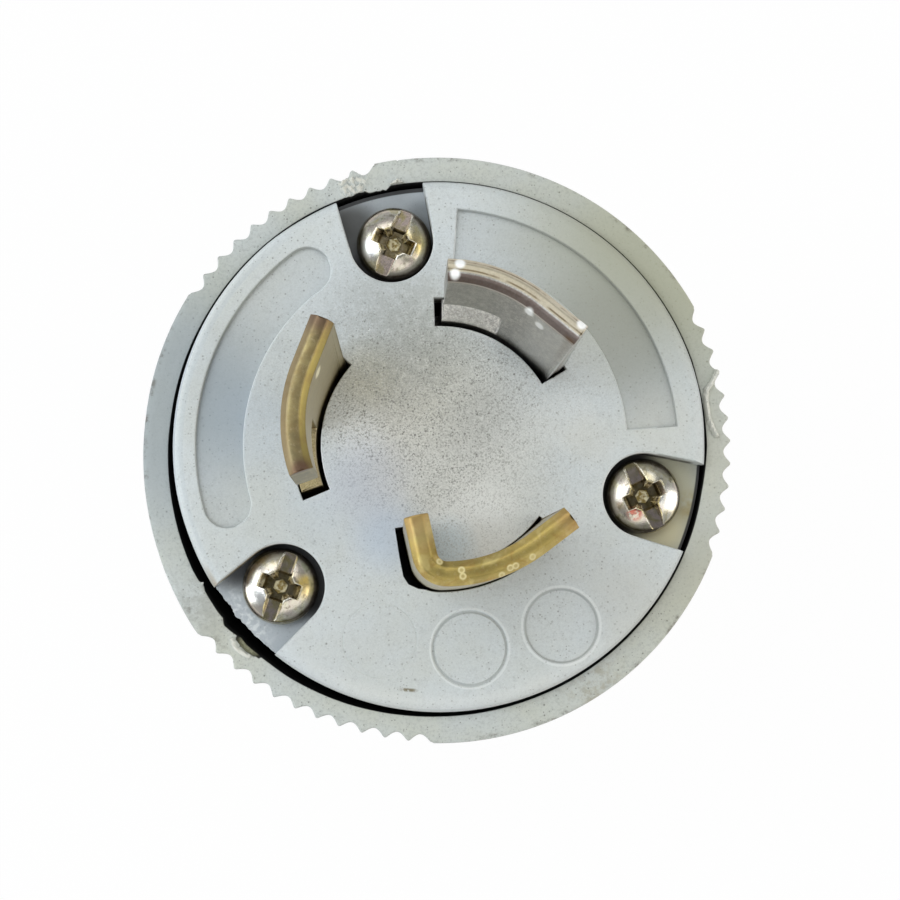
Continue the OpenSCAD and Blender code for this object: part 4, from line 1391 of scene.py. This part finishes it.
class PLUG_OT_blades(bpy.types.Operator):
    """Three curved blades cut from strip, two with the hook that locks and one with a bent leg"""

    bl_idname = "plug.blades"
    bl_label = "Blades"

    def profile(self, sizes):
        """Offsets and heights across a blade, with a bevel and its two small rounds on each side
        of the tip."""
        half = sizes.blade_thickness / 2
        side = [(half, TAB_Z)]
        side += [(half - into * MM, TIP_Z - down * MM) for into, down in (
            (0, 0.62), (0.02, 0.52), (0.07, 0.44), (0.28, 0.14), (0.35, 0.065), (0.44, 0.02),
            (0.56, 0))]
        return side + [(-u, z) for u, z in reversed(side)]

    def cut(self, piece, sizes, start, end, low, high):
        profile = box_profile(5 * MM, low, high)
        carve(piece, swept("edge_cut", sizes.blade_radius, profile, start, end))

    def strip(self, piece, sizes, foot, blade, mid):
        """Cuts the strip to its foot in the pocket, its tab below and the blade above."""
        above, below, past = (FACE_BACK, TIP_Z + MM), (TAB_Z - MM, FOOT_Z), 9
        half_tab = math.degrees(4.1 * MM / sizes.blade_radius)
        if blade[0] > foot[0]:
            self.cut(piece, sizes, foot[0] - past, blade[0], *above)
        self.cut(piece, sizes, blade[1], foot[1] + past, *above)
        self.cut(piece, sizes, foot[0] - past, mid - half_tab, *below)
        self.cut(piece, sizes, mid + half_tab, foot[1] + past, *below)
        at = polar(sizes.blade_radius, mid, TERMINAL_Z)
        carve(piece, bar("thread", 2 * MM, 6 * MM, at, polar(1, mid)))

    def hook(self, piece, sizes, edge):
        """Cuts the locking notch, with small rounds in its corners."""
        radius, high = sizes.blade_radius, FACE_Z + sizes.lock_height
        start = edge - math.degrees(sizes.lock_width / radius)
        tool = swept("lock_cut", radius, box_profile(5 * MM, FACE_Z, high), start, edge + 9)
        soften(tool, lambda c: abs(angle_of(c) - start) < 0.3
               and abs(radius_of(c) - radius) < 0.3 * MM, 0.4 * MM)
        carve(piece, tool)

    def done(self, piece, sizes, line, node, slot, material):
        """Rounds the edges that show, straightens the plain end and hands the blade over."""
        soften(piece, lambda c: c.z > FACE_Z - 3 * MM, 0.09 * MM, 2, 35)
        straighten(piece, sizes.blade_radius, *line)
        finish(piece, node, slot, material, 14)

    def execute(self, context):
        sizes, colours = context.scene.plug_sizes, context.scene.plug_colours
        radius, profile = sizes.blade_radius, self.profile(sizes)
        room = math.degrees(0.9 * MM / radius)
        for node, span, line, slot, material in (
                ("hot_blade", HOT_SPAN, HOT_LINE, "brass", brass_blade(colours)),
                ("neutral_blade", NEUTRAL_SPAN, NEUTRAL_LINE, "nickel", nickel_blade(colours))):
            foot = (span[0] - room, span[1] + room)
            piece = swept(node.replace("blade", "locking_blade"), radius, profile, *foot)
            self.strip(piece, sizes, foot, span, sum(span) / 2)
            self.hook(piece, sizes, span[1])
            self.done(piece, sizes, line, node, slot, material)
        last = GROUND_END + room
        piece, first = earth_path("earth_blade", radius, profile, LEG_END, last)
        self.strip(piece, sizes, (first, last), (first, GROUND_END), (first + GROUND_END) / 2)
        leg = LEG_END + 4 * MM * polar(1, LEG_ANGLE).xy
        carve(piece, block("leg_cut", (leg.x - 6 * MM, leg.y - 8 * MM, TAB_Z - MM),
                           (leg.x + 3 * MM, leg.y + 6 * MM, FOOT_Z)))
        self.done(piece, sizes, GROUND_LINE, "ground_blade", "brass", earth_brass(colours))
        return {"FINISHED"}


def dome(name, diameter, height, shank, length):
    """Domed screw standing on its axis with its head above z = 0."""
    r, wall, chamfer, lip = diameter / 2, 0.28 * height, 0.3 * MM, 0.12 * MM
    section = [(0, -length), (shank / 2 - chamfer, -length), (shank / 2, chamfer - length),
               (shank / 2, 0), (r - lip, 0), (r, lip), (r, wall)]
    section += [(r * math.cos(t), wall + (height - wall) * math.sin(t))
                for t in [math.radians(7.5 * i) for i in range(1, 12)]]
    return turned(name, section + [(0, height)])


class PLUG_OT_face_screws(bpy.types.Operator):
    """Three domed face screws with a full slot crossed by a deeper tapered recess"""

    bl_idname = "plug.face_screws"
    bl_label = "Face screws"

    def tapered(self, name, length, width, low, high, narrow):
        """Block whose lower end is drawn in, for the slot and the arms of the recess."""
        tool = block(name, (-length / 2, -width / 2, low), (length / 2, width / 2, high))
        edit(tool)
        pick(tool, "VERT", lambda v: v.co.z < (low + high) / 2)
        bpy.ops.transform.resize(value=(*narrow, 1), center_override=(0, 0, low))
        return leave(tool)

    def recess(self, screw, top):
        """Cuts the slot, the crossed arms, the round well and the six-sided dimple."""
        carve(screw, self.tapered("slot", 8 * MM, 1.4 * MM, top - 0.78 * MM, top + 0.4 * MM,
                                  (1, 0.55)))
        for turn, length in ((90, 3.3 * MM), (0, 2.9 * MM)):
            arm = self.tapered("arm", length, 1.1 * MM, top - 1.25 * MM, top + 0.3 * MM,
                               (0.58, 0.6))
            carve(screw, place(arm, turn=turn))
        well = ((0, -1.3), (0.6, -1.3), (1.12, 0.3), (0, 0.3))
        dimple = ((0, -1.8), (0.55, -1.36), (0.55, -1), (0, -1))
        for name, section, sides in (("well", well, 32), ("dimple", dimple, 6)):
            carve(screw, turned(name, [(r * MM, top + z * MM) for r, z in section], sides))

    def wear_and_lit_wall(self, screw, top):
        """Gives one wall of the slot the pale metal as a painted highlight, and all rounded edges
        the same metal as worn film.
        """

        def wall(face):
            at = face.calc_center_median()
            return (face.normal.y < -0.6 and face.normal.z > 0.1 and abs(at.x) > 0.9 * MM
                    and at.z > top - 0.8 * MM and abs(at.y) < 0.7 * MM)

        edit(screw)
        merge(0.02 * MM)
        # The wall that faces one way gets the pale metal: a painted highlight
        pick(screw, "FACE", wall)
        screw.active_material_index = 1
        bpy.ops.object.material_slot_assign()
        soften(screw, lambda c: c.z > top - 0.74 * MM, 0.085 * MM, 2, 28, 1)

    def execute(self, context):
        sizes = context.scene.plug_sizes
        screw = dome("face_screw", sizes.head_diameter, sizes.head_height, 2.7 * MM, 16 * MM)
        for part in (yellow_zinc(context.scene.plug_colours), zinc_edge()):
            screw.data.materials.append(part)
        self.recess(screw, sizes.head_height)
        self.wear_and_lit_wall(screw, sizes.head_height)
        screws = []
        for angle, slot, lean in zip(SCREW_ANGLES, SLOT_ANGLES, SCREW_LEANS):
            double = place(copy_of(screw, "screw"), polar(SCREW_CIRCLE, angle, HEAD_Z), slot)
            edit(double)
            pick(double, "VERT", lambda v: v.co.z > HEAD_Z - MM)
            bpy.ops.transform.translate(value=(lean[0] * MM, lean[1] * MM, 0))
            screws.append(leave(double))
        bpy.data.objects.remove(screw)
        finish(join(screws, "domed_face_screws"), "face_screws", "yellow_zinc", None, 30)
        return {"FINISHED"}


class PLUG_OT_clamp(bpy.types.Operator):
    """Cord clamp: its saddle with eased edges, two slotted screws and two hexagon nuts"""

    bl_idname = "plug.clamp"
    bl_label = "Cord clamp"

    def saddle(self, material):
        """Copy of the solid with its triangles merged to faces and its sharp edges rounded."""
        piece = copy_of(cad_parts["clamp_saddle"], "cord_saddle")
        piece.parent = None
        edit(piece)
        merge()
        bpy.ops.mesh.dissolve_limited(angle_limit=math.radians(0.5))
        soften(piece, lambda c: True, 0.25 * MM, 2, 40)
        finish(piece, "clamp_saddle", "grey_plastic", material)

    def pair(self, model, y, tilt, name, node, material):
        """Sets a copy of the model at each side of the clamp and removes the model."""
        both = [place(copy_of(model, "half"), (x, y, CLAMP_Z), 0, tilt) for x in CLAMP_SIDES]
        bpy.data.objects.remove(model)
        finish(join(both, name), node, "yellow_zinc", material, 30)

    def execute(self, context):
        colours = context.scene.plug_colours
        self.saddle(grip_plastic(colours))
        zinc = yellow_zinc(colours)
        screw = dome("clamp_screw", 5.8 * MM, 2 * MM, 3.4 * MM, 13.8 * MM)
        carve(screw, block("slot", (-4 * MM, -0.5 * MM, MM), (4 * MM, 0.5 * MM, 3 * MM)))
        soften(screw, lambda c: c.z > 0.9 * MM, 0.07 * MM, 2, 28)
        self.pair(screw, 5.8 * MM, -90, "slotted_clamp_screws", "clamp_screws", zinc)
        across, high = 6.3 * MM, 2.4 * MM
        corner = across / 2 / math.cos(math.radians(30))
        nut = bar("clamp_nut", corner, high, (0, 0, high / 2), sides=6)
        soften(nut, lambda c: True, 0.15 * MM, 2)
        carve(nut, bar("thread", 1.75 * MM, 6 * MM, (0, 0, 0)))
        self.pair(nut, -5 * MM, 90, "hexagon_clamp_nuts", "clamp_nuts", zinc)
        return {"FINISHED"}


class PLUG_OT_inside(bpy.types.Operator):
    """Finishes of the pieces inside the housing, whose solids are shown as they are"""

    bl_idname = "plug.inside"
    bl_label = "Inside"

    def execute(self, context):
        colours = context.scene.plug_colours
        brass = blade_metal("inner_brass", colours.brass, (0.30, 0.22, 0.09), (0.72, 0.60, 0.34))
        nickel = blade_metal("inner_nickel", colours.nickel, (0.32, 0.30, 0.27),
                             (0.75, 0.73, 0.68))
        dress(("terminal_block",), inner_plastic(colours))
        dress(("hot_wire_plate", "ground_wire_plate", "hot_terminal_screw", "boss_inserts"),
              metal(brass))
        dress(("neutral_wire_plate", "neutral_terminal_screw"), metal(nickel))
        dress(("ground_terminal_screw",), green_lacquer())
        return {"FINISHED"}


class PLUG_OT_studio(bpy.types.Operator):
    """White floor, soft lights and the camera at the photograph's viewing angle"""

    bl_idname = "plug.studio"
    bl_label = "Studio"

    def floor(self):
        """A pale floor that looks evenly white, and lights the plug like a matt one."""
        object_mode()
        bpy.ops.mesh.primitive_circle_add(vertices=96, radius=8, fill_type="NGON",
                                          location=(0, 0, -0.02 * MM))
        floor = named("studio_floor")
        f = Finish("white_floor")
        ray = f.node("ShaderNodeLightPath")
        seen = ray["Is Camera Ray"] + ray["Is Glossy Ray"] + ray["Is Transmission Ray"]
        seen = seen.math("ADD", 0.0, clamp=True)
        f.colour = (0.8, 0.8, 0.8)
        f.put(Roughness=0.9)
        nodes, links = f.tree.nodes, f.tree.links
        glow, both = nodes.new("ShaderNodeEmission"), nodes.new("ShaderNodeMixShader")
        glow.inputs["Color"].default_value = (1, 1, 1, 1)
        links.new((seen * 0.97).socket, both.inputs[0])
        links.new(f.shader.outputs[0], both.inputs[1])
        links.new(glow.outputs[0], both.inputs[2])
        links.new(both.outputs[0], nodes["Material Output"].inputs["Surface"])
        floor.data.materials.append(f.material)

    def lights(self):
        """Soft boxes round the plug: place, width and depth, power and colour."""
        aim = Vector((0, 0, FACE_Z))
        for name, at, size, power, colour in (
                ("left_box", (-0.32, 0.08, 0.46), (0.3, 0.4), 0.98, (0.87, 0.945, 1.0)),
                ("low_box", (-0.5, -0.12, 0.18), (0.24, 0.3), 0.75, (0.93, 0.97, 1.0)),
                ("right_box", (0.5, -0.06, 0.20), (0.3, 0.5), 0.9, (1.0, 0.94, 0.84)),
                ("front_box", (0.12, -0.30, 0.58), (0.8, 0.4), 1.02, (1.0, 0.98, 0.94)),
                ("back_box", (-0.02, 0.34, 0.62), (0.7, 0.4), 1.3, (1.0, 0.995, 0.98))):
            object_mode()
            bpy.ops.object.light_add(type="AREA", location=at)
            lamp = named(name)
            lamp.data.shape, lamp.data.energy, lamp.data.color = "RECTANGLE", power, colour
            lamp.data.size, lamp.data.size_y = size
            lamp.rotation_euler = (aim - Vector(at)).to_track_quat("-Z", "Y").to_euler()

    def air(self, scene):
        """Even light from all round that fades towards the top."""
        world = bpy.data.worlds.new("studio_air")
        scene.world = world
        world.use_nodes = True
        nodes, links = world.node_tree.nodes, world.node_tree.links
        sky = nodes["Background"]
        sky.inputs["Color"].default_value = (0.90, 0.96, 1.0, 1)
        direction, parts, fade = [nodes.new("ShaderNode" + kind)
                                  for kind in ("TexCoord", "SeparateXYZ", "MapRange")]
        links.new(direction.outputs["Generated"], parts.inputs["Vector"])
        links.new(parts.outputs["Z"], fade.inputs["Value"])
        for key, value in (("From Min", 0.1), ("From Max", 0.95), ("To Min", 0.62),
                           ("To Max", 0.22)):
            fade.inputs[key].default_value = value
        links.new(fade.outputs["Result"], sky.inputs["Strength"])

    def camera(self, scene):
        studio = scene.plug_studio
        data = bpy.data.cameras.new("plug_camera")
        camera = bpy.data.objects.new("plug_camera", data)
        scene.collection.objects.link(camera)
        data.sensor_width, data.sensor_fit, data.lens = 36, "HORIZONTAL", studio.lens
        data.clip_start, data.clip_end = 0.005, 30
        turn = Vector((math.radians(-5.25), math.radians(1.70), 0))
        camera.rotation_euler = Matrix.Rotation(-turn.length, 3, turn.normalized()).to_euler()
        camera.location = studio.camera_place
        scene.camera = camera

    def execute(self, context):
        self.floor()
        self.lights()
        self.air(context.scene)
        self.camera(context.scene)
        context.scene.view_settings.view_transform = "Standard"
        return {"FINISHED"}


class PLUG_PT_pieces(bpy.types.Panel):
    """Lists the plug's pieces in the sidebar"""

    bl_idname = "PLUG_PT_pieces"
    bl_label = "Locking cord plug"
    bl_space_type = "VIEW_3D"
    bl_region_type = "UI"
    bl_category = "Plug"

    def draw(self, context):
        scene = context.scene
        for piece in PIECES:
            self.layout.operator(piece.bl_idname)
        for group in (scene.plug_sizes, scene.plug_colours, scene.plug_studio):
            box = self.layout.box()
            for key in group.__annotations__:
                box.prop(group, key)


PIECES = (PLUG_OT_housing, PLUG_OT_face, PLUG_OT_blades, PLUG_OT_face_screws, PLUG_OT_clamp,
          PLUG_OT_inside, PLUG_OT_studio)
CLASSES = (PlugSizes, PlugColours, PlugStudio, *PIECES, PLUG_PT_pieces)


def register():
    for cls in CLASSES:
        bpy.utils.register_class(cls)
    bpy.types.Scene.plug_sizes = PointerProperty(type=PlugSizes)
    bpy.types.Scene.plug_colours = PointerProperty(type=PlugColours)
    bpy.types.Scene.plug_studio = PointerProperty(type=PlugStudio)


def unregister():
    del bpy.types.Scene.plug_sizes, bpy.types.Scene.plug_colours, bpy.types.Scene.plug_studio
    for cls in reversed(CLASSES):
        bpy.utils.unregister_class(cls)


def main():
    register()
    bpy.ops.plug.housing()
    bpy.ops.plug.face()
    bpy.ops.plug.blades()
    bpy.ops.plug.face_screws()
    bpy.ops.plug.clamp()
    bpy.ops.plug.inside()
    bpy.ops.plug.studio()


if __name__ == "__main__":
    main()
